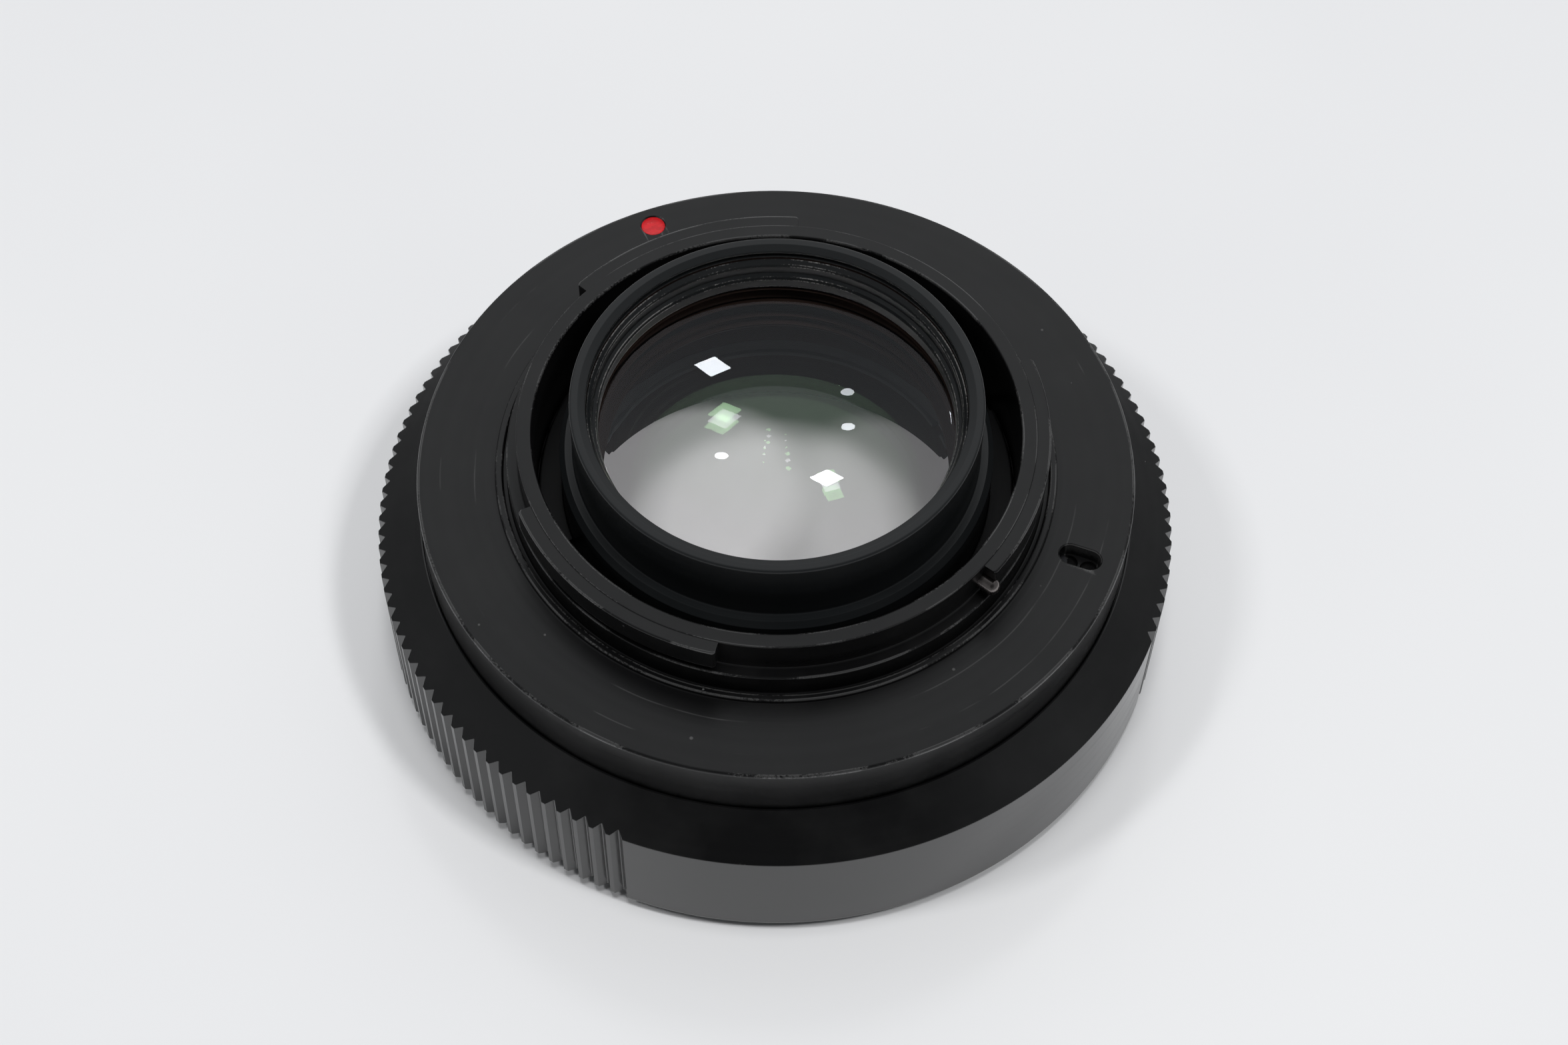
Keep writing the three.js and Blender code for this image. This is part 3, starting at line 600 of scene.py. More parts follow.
def redPaintMaterial():
    material, tree, shader = newMaterial("red paint")
    grain = useGroup(tree, "grain", Grains_per_mm=3.0)
    dust = useGroup(tree, "dust", Cell=0.7, Share=0.2, Size=0.06)
    flow = noiseNode(tree, placeVector(tree), 1.6, 2.0)
    base = mixColours(tree, rangeNode(tree, flow, 0.3, 0.7), (0.4, 0.004, 0.007), (0.6, 0.008, 0.014))
    spotted = mixColours(tree, dust.outputs["Mask"], base, (0.75, 0.25, 0.22))
    tree.links.new(spotted, shader.inputs["Base Color"])
    tree.links.new(rangeNode(tree, flow, 0.3, 0.7, 0.2, 0.34), shader.inputs["Roughness"])
    tree.links.new(bumpFrom(tree, grain.outputs["Height"], 0.5, 0.03), shader.inputs["Normal"])
    shader.inputs["Coat Weight"].default_value = 0.12
    shader.inputs["Coat Roughness"].default_value = 0.1
    return material


nylonWhite = nylonMaterial()
redPaint = redPaintMaterial()


def coatedGlassMaterial(name, look, reflection):
    # Clear glass whose shadow lets light through, with a coating that dims and tints the reflection
    material, tree, shader = newMaterial(name)
    shader.inputs["Metallic"].default_value = 0.0
    shader.inputs["Transmission Weight"].default_value = 1.0
    shader.inputs["IOR"].default_value = look["ior"]
    shader.inputs["Specular Tint"].default_value = (*reflection, 1)
    dust = useGroup(tree, "dust", Cell=1.6, Share=0.1, Size=0.035)
    smear = noiseNode(tree, placeVector(tree), 0.22, 3.0, 0.6)
    tree.links.new(mixColours(tree, rangeNode(tree, smear, 0.35, 0.7), look["tintLow"], look["tintHigh"]),
                   shader.inputs["Base Color"])
    rough = mathNode(tree, "ADD", rangeNode(tree, smear, 0.5, 0.85, 0.0, look["smear"]),
                     mathNode(tree, "MULTIPLY", dust.outputs["Mask"], 0.3), True)
    tree.links.new(rough, shader.inputs["Roughness"])
    path = tree.nodes.new("ShaderNodeLightPath")
    clear = tree.nodes.new("ShaderNodeBsdfTransparent")
    clear.inputs["Color"].default_value = (1, 1, 1, 1)
    blend = tree.nodes.new("ShaderNodeMixShader")
    output = tree.nodes["Material Output"]
    tree.links.new(path.outputs["Is Shadow Ray"], blend.inputs[0])
    tree.links.new(shader.outputs[0], blend.inputs[1])
    tree.links.new(clear.outputs[0], blend.inputs[2])
    tree.links.new(blend.outputs[0], output.inputs["Surface"])
    return material


glassLook = {"ior": 1.62, "tintLow": (1.0, 1.0, 0.992), "tintHigh": (0.985, 0.985, 0.972), "smear": 0.01}
coatedGlass = coatedGlassMaterial("coated glass", glassLook, (0.4, 0.42, 0.45))
greenGlass = coatedGlassMaterial("coated glass green", glassLook, (0.16, 0.38, 0.14))
print("finishes made")


bayonet = {"bore": cellBox["r"] + 2.3, "neckWall": 1.4, "neckTop": flangeBox["z1"], "collarWidth": 1.1,
           "collarHeight": 2.3, "grooveWidth": 0.45, "bossWidth": 1.1, "bossHeight": 0.5,
           "tabReach": 1.2, "tabUnder": 3.2, "tabDrop": 0.06,
           "tabs": [(89, 54), (-34, 58), (-153, 55)], "lipWall": 1.87, "edge": 0.12, "rimEdge": 0.22,
           "dotAngle": 90, "dotInset": 2.2, "dotRadius": 1.15, "dotDepth": 0.5,
           "slotAngle": -44, "slotFrom": 1.5, "slotTo": 1.8, "slotWidth": 2.0, "slotDepth": 1.5,
           "pitDepth": 0.5, "pinAngle": -63.5, "pinRadius": 0.75, "pinHeight": 3.6, "pinShowing": 1.8,
           "pinRoot": 0.8, "tabRise": 0.7, "columns": 300}
neckRadius = bayonet["bore"] + bayonet["neckWall"]
collarRadius = neckRadius + bayonet["collarWidth"]
bossRadius = collarRadius + bayonet["bossWidth"]
flangeRadius = flangeBox["r"]
tabRadius = neckRadius + bayonet["tabReach"]


def tabShare(angle, spans, riseDegrees):
    # 0 off the tabs, 1 on them, with a steep rounded end
    best = 0.0
    for centre, width in spans:
        inside = width / 2 - abs((angle - centre + 180) % 360 - 180)
        if inside > 1e-6:
            t = min(1.0, inside / riseDegrees)
            best = max(best, 0.82 + 0.18 * math.sin(t * math.pi / 2) if t < 1 else 1.0)
    return best


def tabAngles(spans, riseDegrees):
    wanted = []
    for centre, width in spans:
        for side in (-1, 1):
            end = centre + side * width / 2
            wanted += [end + side * 0.02, end - side * 0.05, end - side * 0.25,
                       end - side * riseDegrees * 0.6, end - side * riseDegrees]
    return wanted


def makeBayonetFlange(look):
    e, low = look["edge"], bodyBox["z1"]
    top, lipZ, neckTop = flangeTop, flangeBox["z0"], look["neckTop"]
    lipInner = flangeRadius - look["lipWall"]
    grooveOuter = collarRadius + look["grooveWidth"]
    under, tabTop = top + look["tabUnder"], neckTop - look["tabDrop"]

    def outlineAt(angle):
        reach = neckRadius + (tabRadius - neckRadius) * tabShare(angle, look["tabs"], look["tabRise"])
        return roundedOutline([
            (look["bore"], low), (lipInner, low, 0.05), (lipInner, lipZ, 0.05), (flangeRadius, lipZ, 0.08),
            (flangeRadius, top, look["rimEdge"]), (flangeRadius - 1.6, top), (bossRadius + 1.9, top),
            (bossRadius, top, 0.08), (bossRadius, top + look["bossHeight"], e),
            (grooveOuter, top + look["bossHeight"], e), (grooveOuter, top - 0.05, 0.08),
            (collarRadius, top - 0.05, 0.1), (collarRadius, top + look["collarHeight"], e),
            (neckRadius, top + look["collarHeight"], 0.15), (neckRadius, under, 0.08),
            (reach, under, 0.1), (reach, tabTop, 0.14), (neckRadius - 0.02, tabTop, 0.03),
            (neckRadius - 0.05, neckTop, 0.04), (look["bore"], neckTop, 0.16)], 3)

    angles = evenAngles(look["columns"], tabAngles(look["tabs"], look["tabRise"]))
    flange = sweepRing("bayonetFlange", outlineAt, angles)
    dotAt = around(look["dotAngle"], flangeRadius - look["dotInset"])
    dot = look["dotRadius"]
    dimple = roundSolid("dimple", [(dot, top - look["dotDepth"]), (dot, top - 0.08), (dot + 0.08, top),
                                   (dot + 0.5, top + 0.42)], dotAt)
    inner, outer = bossRadius + look["slotFrom"], flangeRadius - look["slotTo"]
    slotAt = around(look["slotAngle"], (inner + outer) / 2)
    slotLength, width, floor = outer - inner, look["slotWidth"], top - look["slotDepth"]
    slot = stackedLoops("slot", [(stadium(slotLength, width), floor),
                                 (stadium(slotLength, width), top - 0.12),
                                 (stadium(slotLength, width, 0.12), top),
                                 (stadium(slotLength, width, 0.5), top + 0.38)], slotAt)
    cutters = [dimple, slot]
    for side in (-1, 1):
        pitAt = slotAt @ Matrix.Translation((side * (slotLength - width) / 2, 0, 0))
        pitLow = floor - look["pitDepth"]
        cutters.append(roundSolid("pit", [(width * 0.36, pitLow), (width * 0.4, pitLow + 0.1),
                                          (width * 0.4, floor + 0.2)], pitAt, 24))
    hole = look["pinRadius"] + 0.03
    cutters.append(roundSolid("pinHole", [(hole, neckRadius - look["pinRoot"]), (hole, flangeRadius)],
                              outwards(look["pinAngle"], top + look["pinHeight"]), 24))
    return cutWith(flange, cutters)


finishPiece(makeBayonetFlange(bayonet), "adapter_body", ["bayonet_flange"], flangeAnodised)


def makeRedDot(look):
    top, radius = flangeTop, look["dotRadius"] - 0.02
    low = top - look["dotDepth"] + 0.01
    profile = [(radius, low), (radius, top - 0.12), (radius * 0.93, top - 0.17), (radius * 0.75, top - 0.22),
               (radius * 0.5, top - 0.25), (radius * 0.25, top - 0.262)]
    return roundSolid("redIndexDot", profile, around(look["dotAngle"], flangeRadius - look["dotInset"]))


finishPiece(makeRedDot(bayonet), "adapter_body", ["red_index_dot"], redPaint, 50)


def makeStopPin(look):
    r, root, tip = look["pinRadius"], neckRadius - look["pinRoot"] + 0.01, neckRadius + look["pinShowing"]
    crown = r * 0.85
    profile = [(r, root)]
    for angle in (0, 15, 30, 45, 58, 70, 80):  # rounded tip
        a = math.radians(angle)
        profile.append((r * math.cos(a), tip - crown * (1 - math.sin(a))))
    return roundSolid("bayonetStopPin", profile, outwards(look["pinAngle"], flangeTop + look["pinHeight"]))


finishPiece(makeStopPin(bayonet), "adapter_body", ["bayonet_stop_pin"], pinSteel, 60)


grip = {"count": 144, "plain": 35, "depth": 0.6, "crest": 0.25, "land": 0.2, "coneEdge": 0.1,
        "skirtWall": 2.84, "bore": bodyBox["r"] + 0.1, "shoulder": 8.65, "underWasher": 13.95,
        "gripTop": 12.61, "lowEdge": 0.25, "notchDepth": 0.5, "stopFrom": -131.4, "stopTurn": 41.4}


def grooveDepth(phase, look):
    # Depth at a place within one pitch, 0 to 1: a flat crest, then a V with a narrow flat root
    crest = look["crest"] / 2
    into = min(phase, 1 - phase) - crest
    return look["depth"] * max(0.0, min(1.0, into / (0.5 - crest - 0.03)))


def makeKnurledRing(look):
    radius, low, top = ringBox["r"], ringBox["z0"], ringBox["z1"]
    pitch = 360 / look["count"]
    start = -90 + look["plain"] * pitch / 2
    inner = flangeRadius + 0.1
    skirt = radius - look["skirtWall"]
    slope = (top - look["gripTop"]) / (radius - inner - look["land"])
    phases = [0.0, 0.09, 0.125, 0.16, 0.3, 0.44, 0.47, 0.5, 0.53, 0.56, 0.7, 0.84, 0.875, 0.91]
    columns = []
    for i in range(look["count"] - look["plain"]):
        columns += [(start + (i + p) * pitch, grooveDepth(p, look)) for p in phases]
    span = look["plain"] * pitch
    first = start + (look["count"] - look["plain"]) * pitch
    steps = int(span)
    columns += [(first + span * k / steps, 0.0) for k in range(steps)]
    depthAt = dict(columns)

    def outlineAt(angle):
        depth = depthAt[angle]
        edge = radius - depth
        edgeZ = look["gripTop"] + depth * slope
        return roundedOutline([
            (skirt, low, 0.1), (edge, low, look["lowEdge"]), (edge, edgeZ, look["coneEdge"]),
            (inner + look["land"], top, 0.06), (inner, top, 0.04), (inner, look["underWasher"]),
            (look["bore"], look["underWasher"]), (look["bore"], look["shoulder"]),
            (skirt, look["shoulder"], 0.3)], 3)

    ring = sweepRing("knurledRing", outlineAt, list(depthAt))
    lever = boxOf("aperture_lever")
    cutLow, notchTop = look["shoulder"] - look["notchDepth"], lever["z1"] + 0.03
    x0, x1, half = look["bore"] - 1, lever["x1"] + 0.03, (lever["y1"] - lever["y0"]) / 2 + 0.03
    box = [(x0, -half), (x1, -half), (x1, half), (x0, half)]
    notch = stackedLoops("notch", [(box, cutLow), (box, notchTop)])
    pin = boxOf("limit_pin")
    at, reach = -pin["cy"], (pin["x1"] - pin["x0"]) / 2 + 0.1
    parts = 20
    sweep = [math.radians(look["stopFrom"] + look["stopTurn"] * k / parts) for k in range(parts + 1)]
    arc = [((at + reach) * math.cos(a), (at + reach) * math.sin(a)) for a in sweep]
    arc += [((at - reach) * math.cos(a), (at - reach) * math.sin(a)) for a in reversed(sweep)]
    groove = stackedLoops("groove", [(arc, cutLow), (arc, pin["z1"] + 0.1)])
    return cutWith(ring, [notch, groove])


finishPiece(makeKnurledRing(grip), "lock_ring", ["knurled_lock_ring"], gripAnodised, 30)


cell = {"tubeWall": 1.43, "bore": 16.84, "rimFall": 0.3, "rimEdge": 0.2, "ledge": flangeTop + 3.0,
        "bevel": 0.5, "relief": 0.46, "reliefDrop": 0.25, "reliefWidth": 0.4, "seatRadius": 16.4,
        "seatThickness": 1.0, "tailBore": 18.2}


def makeLensCell(look):
    tube, top, low = look["bore"] + look["tubeWall"], cellBox["z1"], cellBox["z0"]
    bore, innerTop = look["bore"], cellBox["z1"] - look["rimFall"]
    reliefTop = innerTop - look["reliefDrop"]
    reliefLow = reliefTop - look["reliefWidth"]
    relief = bore + look["relief"]
    ledge, ring = look["ledge"], cellBox["r"]
    seat, mouth = frontEdges[0], baffleBox["r"] + 0.03
    outline = [
        (look["seatRadius"] + 0.3, seat - look["seatThickness"], 0.1),
        (look["tailBore"], seat - look["seatThickness"], 0.3),
        (look["tailBore"], baffleBox["z1"]), (mouth, baffleBox["z1"]), (mouth, low, 0.05),
        (ring, low, 0.15), (ring, ledge - look["bevel"], 0.06), (ring - look["bevel"], ledge, 0.06),
        (tube, ledge, 0.12), (tube, top - 0.9), (tube, top, look["rimEdge"]), (tube - 0.75, top - 0.02, 0.1),
        (bore, innerTop, 0.06), (bore, reliefTop, 0.04), (relief, reliefTop, 0.05),
        (relief, reliefLow, 0.05), (bore, reliefLow, 0.04), (bore, seat), (look["seatRadius"], seat, 0.05),
        (look["seatRadius"], seat - look["seatThickness"] + 0.4, 0.1)]
    return turnRing("lensCell", outline, 288)


cellPiece = finishPiece(makeLensCell(cell), "adapter_body", ["lens_cell"], satinAnodised)
paintFaces(cellPiece, insideMatte, lambda r, z, up: r < cell["tailBore"] + 0.03 and z < rearEdges[1])

retaining = {"aperture": 15.9, "step": 0.45, "bevel": 0.55, "lowHeight": 1.6, "highHeight": 1.9}


def makeRetainingRing(look):
    outer, low, top = retainingBox["r"], retainingBox["z0"], retainingBox["z1"]
    inner, step = look["aperture"], look["aperture"] + look["step"]
    outline = [
        (inner + 0.25, low), (outer, low), (outer, top, 0.05),
        (step + 0.1, top - look["bevel"] + 0.05, 0.05), (step, top - look["bevel"] - 0.15, 0.05),
        (step, low + look["highHeight"], 0.04),
        (inner + 0.12, low + look["lowHeight"] + 0.1, 0.05), (inner, low + look["lowHeight"] - 0.2, 0.06),
        (inner, low + 0.45, 0.04), (inner + 0.25, low + 0.2, 0.03)]
    return turnRing("rearRetainingRing", outline, 256)


finishPiece(makeRetainingRing(retaining), "adapter_body", ["rear_retaining_ring"],
            retainingAnodised)


def sphereCurve(edgeRadius, edgeZ, sag, count=22):
    # Heights along a spherical surface from the axis to its edge: sag is how far the middle stands above it
    ball = (edgeRadius ** 2 + sag ** 2) / (2 * abs(sag))
    out = []
    for k in range(count + 1):
        r = edgeRadius * k / count
        rise = math.sqrt(ball ** 2 - r ** 2) - math.sqrt(ball ** 2 - edgeRadius ** 2)
        out.append((r, edgeZ + math.copysign(rise, sag)))
    return out


def makeGlass(name, box, lowEdge, highEdge, sagBelow, sagAbove, columns=192):
    # A lens with two spherical faces, a flat ring at each edge and a small ground bevel
    radius, aperture = box["r"], retaining["aperture"]
    below = sphereCurve(aperture, lowEdge, sagBelow)
    above = sphereCurve(aperture, highEdge, sagAbove)
    outline = below[1:] + [(radius - 0.15, lowEdge), (radius, lowEdge + 0.15), (radius, highEdge - 0.15),
                           (radius - 0.15, highEdge)] + above[1:][::-1]
    vertices, faces = [], []
    n = len(outline)
    for i in range(columns):
        a = 2 * math.pi * i / columns
        vertices += [(r * math.cos(a), r * math.sin(a), z) for r, z in outline]
    for i in range(columns):
        j = (i + 1) % columns
        for k in range(n - 1):
            faces.append((i * n + k, j * n + k, j * n + k + 1, i * n + k + 1))
    bottom, top = len(vertices), len(vertices) + 1
    vertices += [(0, 0, below[0][1]), (0, 0, above[0][1])]
    for i in range(columns):
        j = (i + 1) % columns
        faces.append((bottom, j * n, i * n))
        faces.append((top, i * n + n - 1, j * n + n - 1))
    return meshFrom(name, vertices, faces)


rearGlass = {"sagBelow": 1.0, "sagAbove": -0.9}
frontGlass = {"sagBelow": 0.8, "sagAbove": 0.9}
for name, node, box, edges, sags in (("rearElement", "rear_element", rearBox, rearEdges, rearGlass),
                                     ("frontElement", "front_element", frontBox, frontEdges, frontGlass)):
    piece = makeGlass(name, box, *edges, sags["sagBelow"], sags["sagAbove"])
    finishPiece(piece, "adapter_body", [node], coatedGlass, 30)
    paintFaces(piece, greenGlass, lambda r, z, up: up < 0)
    paintFaces(piece, insideMatte, lambda r, z, up: r > retaining["aperture"] + 0.05)  # blackened edge


def makeSpacer():
    # Light-trap grooves run down the inner wall
    low, high, outer, inner = spacerBox["z0"], spacerBox["z1"], spacerBox["r"], cell["seatRadius"]
    outline = [(inner + 0.1, low), (outer, low), (outer, high), (inner + 0.1, high)]
    z = high - 0.1
    while z > low + 0.35:
        outline += [(inner, z, 0.02), (inner, z - 0.12, 0.02), (inner + 0.16, z - 0.2, 0.02)]
        z -= 0.28
    outline.append((inner, low + 0.08))
    return turnRing("elementSpacer", outline, 160, 2)


finishPiece(makeSpacer(), "adapter_body", ["element_spacer"], matteBlack, 50)


def makeBaffle():
    outer, low, high = baffleBox["r"], baffleBox["z0"], baffleBox["z1"]
    inner = cell["tailBore"] - 0.3
    outline = [(inner, low, 0.05), (outer, low, 0.1), (outer, high, 0.05), (inner + 0.3, high, 0.05),
               (inner + 0.2, low + 0.7, 0.05), (inner, low + 0.45, 0.05)]
    ring = turnRing("frontBaffle", outline, 160)
    bar = barLoop(20, 0.7)
    return cutWith(ring, [stackedLoops("wrenchSlot", [(bar, low - 1), (bar, low + 0.8)])])


finishPiece(makeBaffle(), "adapter_body", ["front_baffle_ring"], matteBlack, 50)


def makeCellLock():
    inner, outer = cellBox["r"] + 0.03, cellLockBox["r"]
    low, high = cellLockBox["z0"], cellLockBox["z1"]
    outline = [(inner, low), (outer, low, 0.05), (outer, high, 0.12), (inner, high, 0.08)]
    ring = turnRing("cellLockRing", outline, 192)
    cutters = []
    for turn in (0, 90):
        bar = [tuple(Matrix.Rotation(math.radians(turn), 2) @ Vector(p)) for p in barLoop(30, 0.8)]
        cutters.append(stackedLoops("wrenchSlot", [(bar, high - 0.7), (bar, high + 1)]))
    return cutWith(ring, cutters)


finishPiece(makeCellLock(), "adapter_body", ["cell_lock_ring"], insideBlack)

lensSide = {"neck": 25.6, "throat": 24.0, "lug": 27.2, "lugThickness": 1.6,
            "lugs": [(90, 50), (210, 50), (330, 50)], "baseZ": 6.4,
            "screwCircle": 28.6, "screwAngles": [60, 150, 240, 330], "screwHead": 1.15, "screwHole": 0.73,
            "pinHole": 0.58, "lugRise": 0.8}


def makeLensMount(look):
    base, low, high = lensMountBox["r"], lensMountBox["z0"], lensMountBox["z1"]

    def outlineAt(angle):
        reach = look["neck"] + (look["lug"] - look["neck"]) * tabShare(angle, look["lugs"], look["lugRise"])
        return roundedOutline([
            (look["throat"], low, 0.15), (look["neck"] - 0.15, low, 0.04), (reach, low + 0.001, 0.15),
            (reach, look["lugThickness"], 0.12), (look["neck"], look["lugThickness"], 0.06),
            (look["neck"], look["baseZ"], 0.15), (base, look["baseZ"], 0.15), (base, high, 0.05),
            (look["throat"], high)], 3)

    ring = sweepRing("lensMountRing", outlineAt, evenAngles(256, tabAngles(look["lugs"], look["lugRise"])))
    cutters = []
    for angle in look["screwAngles"]:
        at = around(angle, look["screwCircle"])
        z, head, hole = look["baseZ"], look["screwHead"], look["screwHole"]
        profile = [(head + 0.1, z - 0.5), (head + 0.1, z), (head + 0.03, z + 0.06), (head + 0.03, z + 0.26),
                   (hole, z + 0.9), (hole, high + 1)]
        cutters.append(roundSolid("screwHole", profile, at, 24))
    return cutWith(ring, cutters)


mountPiece = finishPiece(makeLensMount(lensSide), "adapter_body", ["lens_mount_ring"],
                         blackAnodised)
paintFaces(mountPiece, insideMatte, lambda r, z, up: r < lensSide["throat"] + 0.1 and abs(up) < 0.3)


def makePlate():
    r, low, high = plateBox["r"], plateBox["z0"], plateBox["z1"]
    throat = lensSide["throat"]
    outline = [(throat, low, 0.1), (r, low, 0.15), (r, high, 0.1), (throat, high, 0.05)]
    plate = turnRing("ringRetainer", outline, 192)
    pin = boxOf("limit_pin")
    holes = [(lensSide["pinHole"], 270, -pin["cy"])]
    holes += [(lensSide["screwHole"], angle, lensSide["screwCircle"]) for angle in lensSide["screwAngles"]]
    cutters = [roundSolid("hole", [(size, low - 1), (size, high + 1)], around(angle, radius), 24)
               for size, angle, radius in holes]
    return cutWith(plate, cutters)


finishPiece(makePlate(), "adapter_body", ["ring_retainer"], brightSteel)


def makeScrew(name, node, look, atAngle, atRadius):
    # Countersunk, driven from below, with a cross recess and a domed head
    box = boxOf(node)
    z, tip = box["z0"], box["z1"]
    head, shank = look["head"], look["shank"]
    profile = [(head * 0.35, z), (head * 0.8, z + 0.02), (head - 0.03, z + 0.07), (head, z + 0.12),
               (head, z + 0.22), (shank, z + look["headHeight"])]
    t = z + look["headHeight"] + 0.12
    while t < tip - 0.3:  # thread crests
        profile += [(shank, t), (shank - 0.1, t + 0.12)]
        t += 0.25
    profile += [(shank - 0.1, tip - 0.15), (shank - 0.25, tip)]
    screw = roundSolid(name, profile, around(atAngle, atRadius))
    cutters = []
    for turn in (20, 110):
        arm, half, deep = head * 0.6, head * 0.13, look["headHeight"] * 0.55
        bar = barLoop(arm, half)
        wide, narrow = [[(x * sx, y * sy) for x, y in bar] for sx, sy in ((1.05, 1.1), (0.55, 0.7))]
        at = around(atAngle, atRadius) @ Matrix.Rotation(math.radians(turn), 4, "Z")
        cutters.append(stackedLoops("cross", [(wide, z - 0.3), (bar, z), (narrow, z + deep)], at))
    return cutWith(screw, cutters)


mountScrew = {"head": 1.15, "shank": 0.7, "headHeight": 0.85}
for i, angle in enumerate(lensSide["screwAngles"]):
    node = f"lens_mount_screw_{i + 1}"
    screw = makeScrew(f"mountScrew{i + 1}", node, mountScrew, angle, lensSide["screwCircle"])
    finishPiece(screw, "adapter_body", [node], blackSteel, 35)
leverScrew = {"head": 0.95, "shank": 0.55, "headHeight": 0.65}
leverScrewBox = boxOf("lever_screw")
screw = makeScrew("leverScrew", "lever_screw", leverScrew, 0, leverScrewBox["cx"])
finishPiece(screw, "lock_ring", ["lever_screw"], brightSteel, 35)

# Frame parts that stay, with their finish and the width of their rounded edges in mm
keptNodes = {
    "main_body": (insideBlack, 0.12), "friction_washer": (nylonWhite, 0.04), "limit_pin": (brightSteel, 0.06),
    "aperture_lever": (blackSteel, 0.12), "lever_drive_pin": (brightSteel, 0.05),
    "detent_ball": (brightSteel, 0), "detent_spring": (brightSteel, 0), "flange_screw_1": (blackSteel, 0.05),
    "flange_screw_2": (blackSteel, 0.05), "flange_screw_3": (blackSteel, 0.05),
}
for node, (material, bevelWidth) in keptNodes.items():
    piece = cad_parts[node]
    piece.data.materials.clear()
    piece.data.materials.append(material)
    if bevelWidth:
        bevel = piece.modifiers.new("edge round", "BEVEL")
        bevel.width = bevelWidth * mm
        bevel.segments = 2
        bevel.limit_method = "ANGLE"
        bevel.angle_limit = math.radians(40)
        bevel.use_clamp_overlap = True
print("frame parts finished")


studio = {"floorSize": 3.0, "floorLow": (0.74, 0.745, 0.76), "floorHigh": (0.78, 0.785, 0.795),
          "speckColour": (0.2, 0.19, 0.18), "room": 0.22, "roomColour": (0.96, 0.98, 1.0),
          "wall": 0.55, "wallSide": (0.33, 0.75, 0.7), "wallSpread": (0.8, 0.97),
          "shade": 0.16, "cameraSide": (-0.2, -0.5, 0.9), "shadeSpread": (0.75, 0.95)}


def makeFloor(look):
    # A sheet of card on the table, slightly uneven
    half, steps = look["floorSize"] / 2, 60
    b = bmesh.new()
    bmesh.ops.create_grid(b, x_segments=steps, y_segments=steps, size=half)
    mesh = bpy.data.meshes.new("floor")
    b.to_mesh(mesh)
    b.free()
    floor = bpy.data.objects.new("floor", mesh)
    bpy.context.scene.collection.objects.link(floor)
    material, tree, shader = newMaterial("pale card")
    place = placeVector(tree)
    broad = noiseNode(tree, place, 0.008, 3.0)
    fibre = noiseNode(tree, place, 6.0, 3.0, 0.6)
    specks = useGroup(tree, "dust", Cell=24.0, Share=0.14, Size=0.35)
    base = mixColours(tree, rangeNode(tree, broad, 0.3, 0.7), look["floorLow"], look["floorHigh"])
    faint = mathNode(tree, "MULTIPLY", specks.outputs["Mask"], 0.55)
    base = mixColours(tree, faint, base, look["speckColour"])
    tree.links.new(base, shader.inputs["Base Color"])
    tree.links.new(rangeNode(tree, fibre, 0.3, 0.7, 0.5, 0.62), shader.inputs["Roughness"])
    tree.links.new(bumpFrom(tree, fibre, 0.15, 0.03), shader.inputs["Normal"])
    mesh.materials.append(material)
    return floor


makeFloor(studio)


def makeWorld(look):
    # Dim room: a brighter wall behind the adapter, darker on the side that the camera stands on
    world = bpy.data.worlds.new("room")
    world.use_nodes = True
    bpy.context.scene.world = world
    tree = world.node_tree
    back = tree.nodes["Background"]
    coords = tree.nodes.new("ShaderNodeTexCoord")

    def glow(direction, spread, level):
        dot = tree.nodes.new("ShaderNodeVectorMath")
        dot.operation = "DOT_PRODUCT"
        dot.inputs[1].default_value = Vector(direction).normalized()
        tree.links.new(coords.outputs["Generated"], dot.inputs[0])
        return rangeNode(tree, dot.outputs["Value"], *spread, 0.0, level)

    level = mathNode(tree, "ADD", glow(look["wallSide"], look["wallSpread"], look["wall"]), look["room"])
    level = mathNode(tree, "SUBTRACT", level, glow(look["cameraSide"], look["shadeSpread"], look["shade"]))
    tree.links.new(level, back.inputs["Strength"])
    back.inputs["Color"].default_value = (*look["roomColour"], 1)


makeWorld(studio)

# Each light stands at a bearing (degrees from +X), elevation and distance, and faces the adapter. It is
# a square or disc of the given width. These light the scene without showing as reflections.
lampDistance = 1.5
lampAim = Vector((0, 0, 0.015))
lights = [
    {"name": "ceiling", "bearing": -114, "elevation": 86, "distance": 1.4, "width": 0.36, "power": 7.4},
    {"name": "lampRight", "bearing": -52, "elevation": 61, "width": 0.2, "power": 7.4},
    {"name": "lampLeft", "bearing": 172, "elevation": 56, "width": 0.2, "power": 4.2},
    {"name": "lampBack", "bearing": 63, "elevation": 55, "width": 0.2, "power": 1.6},
]
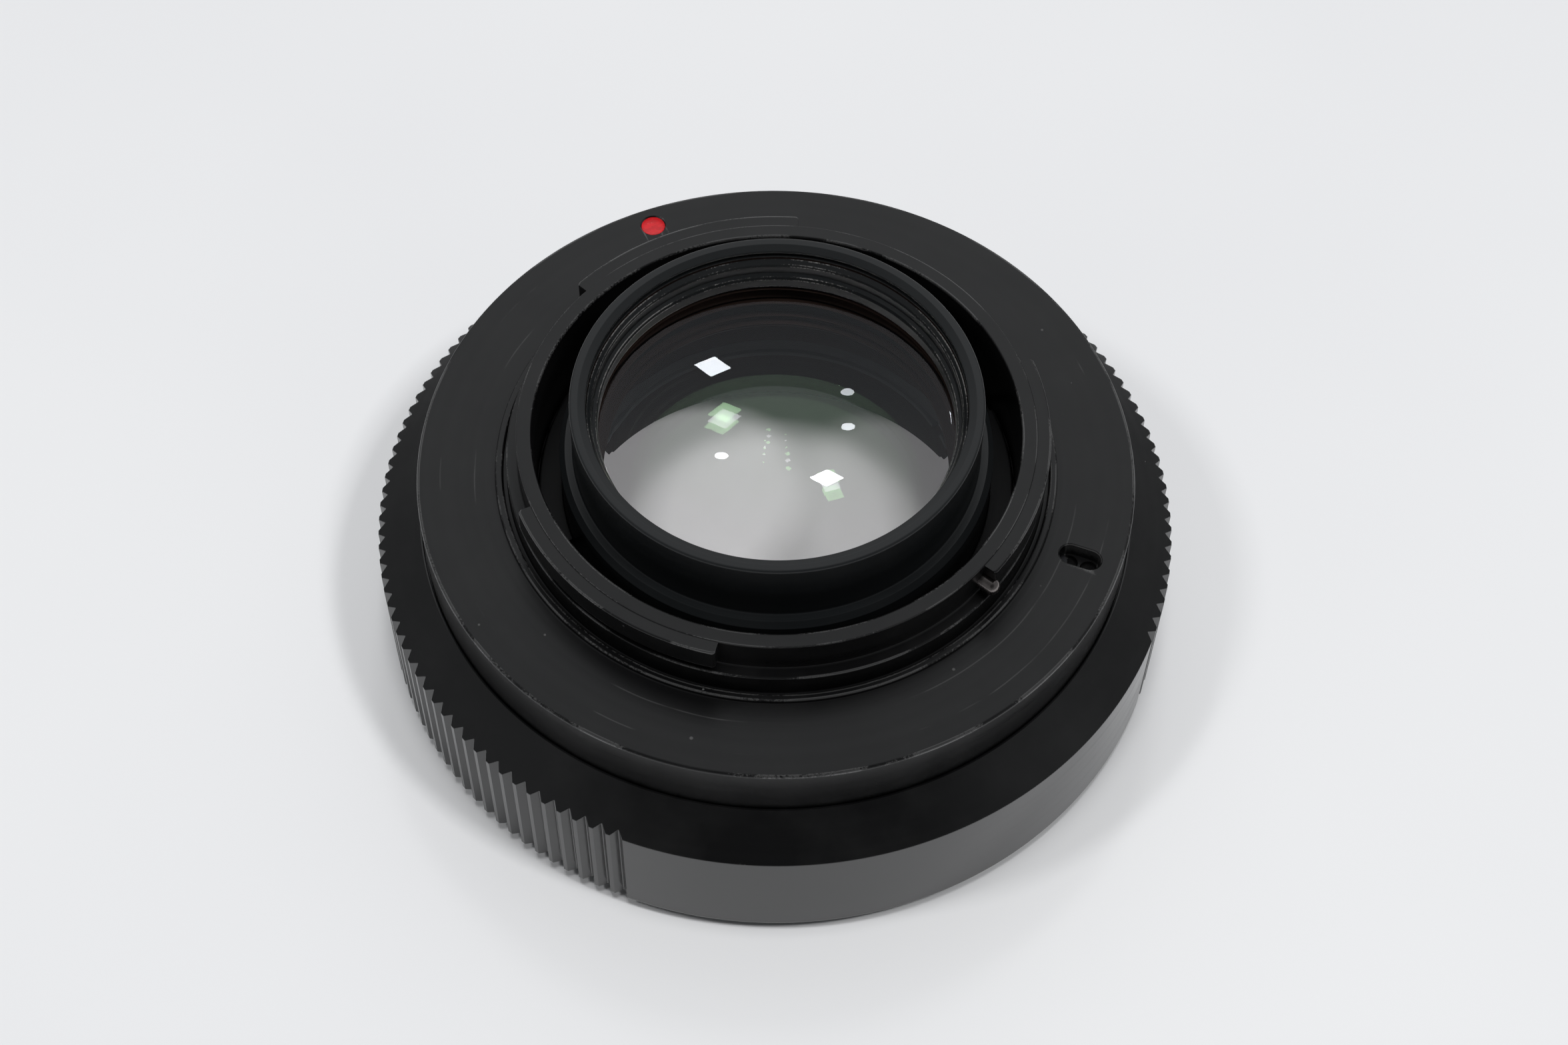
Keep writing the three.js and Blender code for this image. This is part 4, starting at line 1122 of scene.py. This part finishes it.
# Small windows and bulbs whose light falls only on the glass and the stop pin, and shows there
glints = [
    {"name": "windowA", "bearing": 61.8, "elevation": 58.3, "width": 0.024, "radiance": 34, "spin": 45},
    {"name": "windowB", "bearing": 68.7, "elevation": 51.4, "width": 0.02, "radiance": 60, "spin": 40},
    {"name": "windowC", "bearing": 81, "elevation": 44, "width": 0.13, "radiance": 40, "spin": 40},
    {"name": "windowD", "bearing": 43, "elevation": 62, "width": 0.09, "radiance": 16, "spin": 45},
    {"name": "windowE", "bearing": 51, "elevation": 30, "width": 0.09, "radiance": 9, "spin": 45},
    {"name": "bulbA", "bearing": 63.2, "elevation": 52.7, "width": 0.011, "radiance": 60, "shape": "DISK"},
    {"name": "bulbB", "bearing": 70.5, "elevation": 56.8, "width": 0.012, "radiance": 14, "shape": "DISK"},
    {"name": "bulbC", "bearing": 70.2, "elevation": 54.6, "width": 0.012, "radiance": 20, "shape": "DISK"},
]


def addLight(look, power, shows):
    data = bpy.data.lights.new(look["name"], "AREA")
    data.shape = look.get("shape", "SQUARE")
    data.size = look["width"]
    data.energy = power
    lamp = bpy.data.objects.new(look["name"], data)
    lamp.visible_glossy = lamp.visible_transmission = shows
    lamp.visible_diffuse = not shows
    bpy.context.scene.collection.objects.link(lamp)
    b, e = math.radians(look["bearing"]), math.radians(look["elevation"])
    away = Vector((math.cos(b) * math.cos(e), math.sin(b) * math.cos(e), math.sin(e)))
    lamp.location = lampAim + away * look.get("distance", lampDistance)
    lamp.rotation_mode = "QUATERNION"
    spin = Matrix.Rotation(math.radians(look.get("spin", 0)), 3, "Z").to_quaternion()
    lamp.rotation_quaternion = away.to_track_quat("Z", "Y") @ spin
    return lamp


for look in lights:
    addLight(look, look["power"], shows=False)
glintTakers = bpy.data.collections.new("takes glints")
for name in ("rearElement", "frontElement", "bayonetStopPin"):
    glintTakers.objects.link(bpy.data.objects[name])
for look in glints:
    lamp = addLight(look, look["radiance"] * math.pi * look["width"] ** 2, shows=True)
    lamp.light_linking.receiver_collection = glintTakers

cameraLook = {"location": (-54.57, -123.32, 210.19), "heading": -24.21, "pitch": 34.02, "roll": 1.156,
              "lens": 58.93}


def addCamera(look):
    data = bpy.data.cameras.new("camera")
    data.sensor_fit = "HORIZONTAL"
    data.sensor_width = 36.0
    data.lens = look["lens"]
    data.clip_start, data.clip_end = 0.01, 20.0
    camera = bpy.data.objects.new("camera", data)
    bpy.context.scene.collection.objects.link(camera)
    camera.location = Vector(look["location"]) * mm
    turn = Matrix.Identity(3)
    for part, axis in (("heading", "Z"), ("pitch", "X"), ("roll", "Z")):
        turn = turn @ Matrix.Rotation(math.radians(look[part]), 3, axis)
    camera.rotation_mode = "QUATERNION"
    camera.rotation_quaternion = turn.to_quaternion()
    bpy.context.scene.camera = camera


addCamera(cameraLook)
bpy.context.scene.view_settings.view_transform = "Standard"
print("light and camera set")
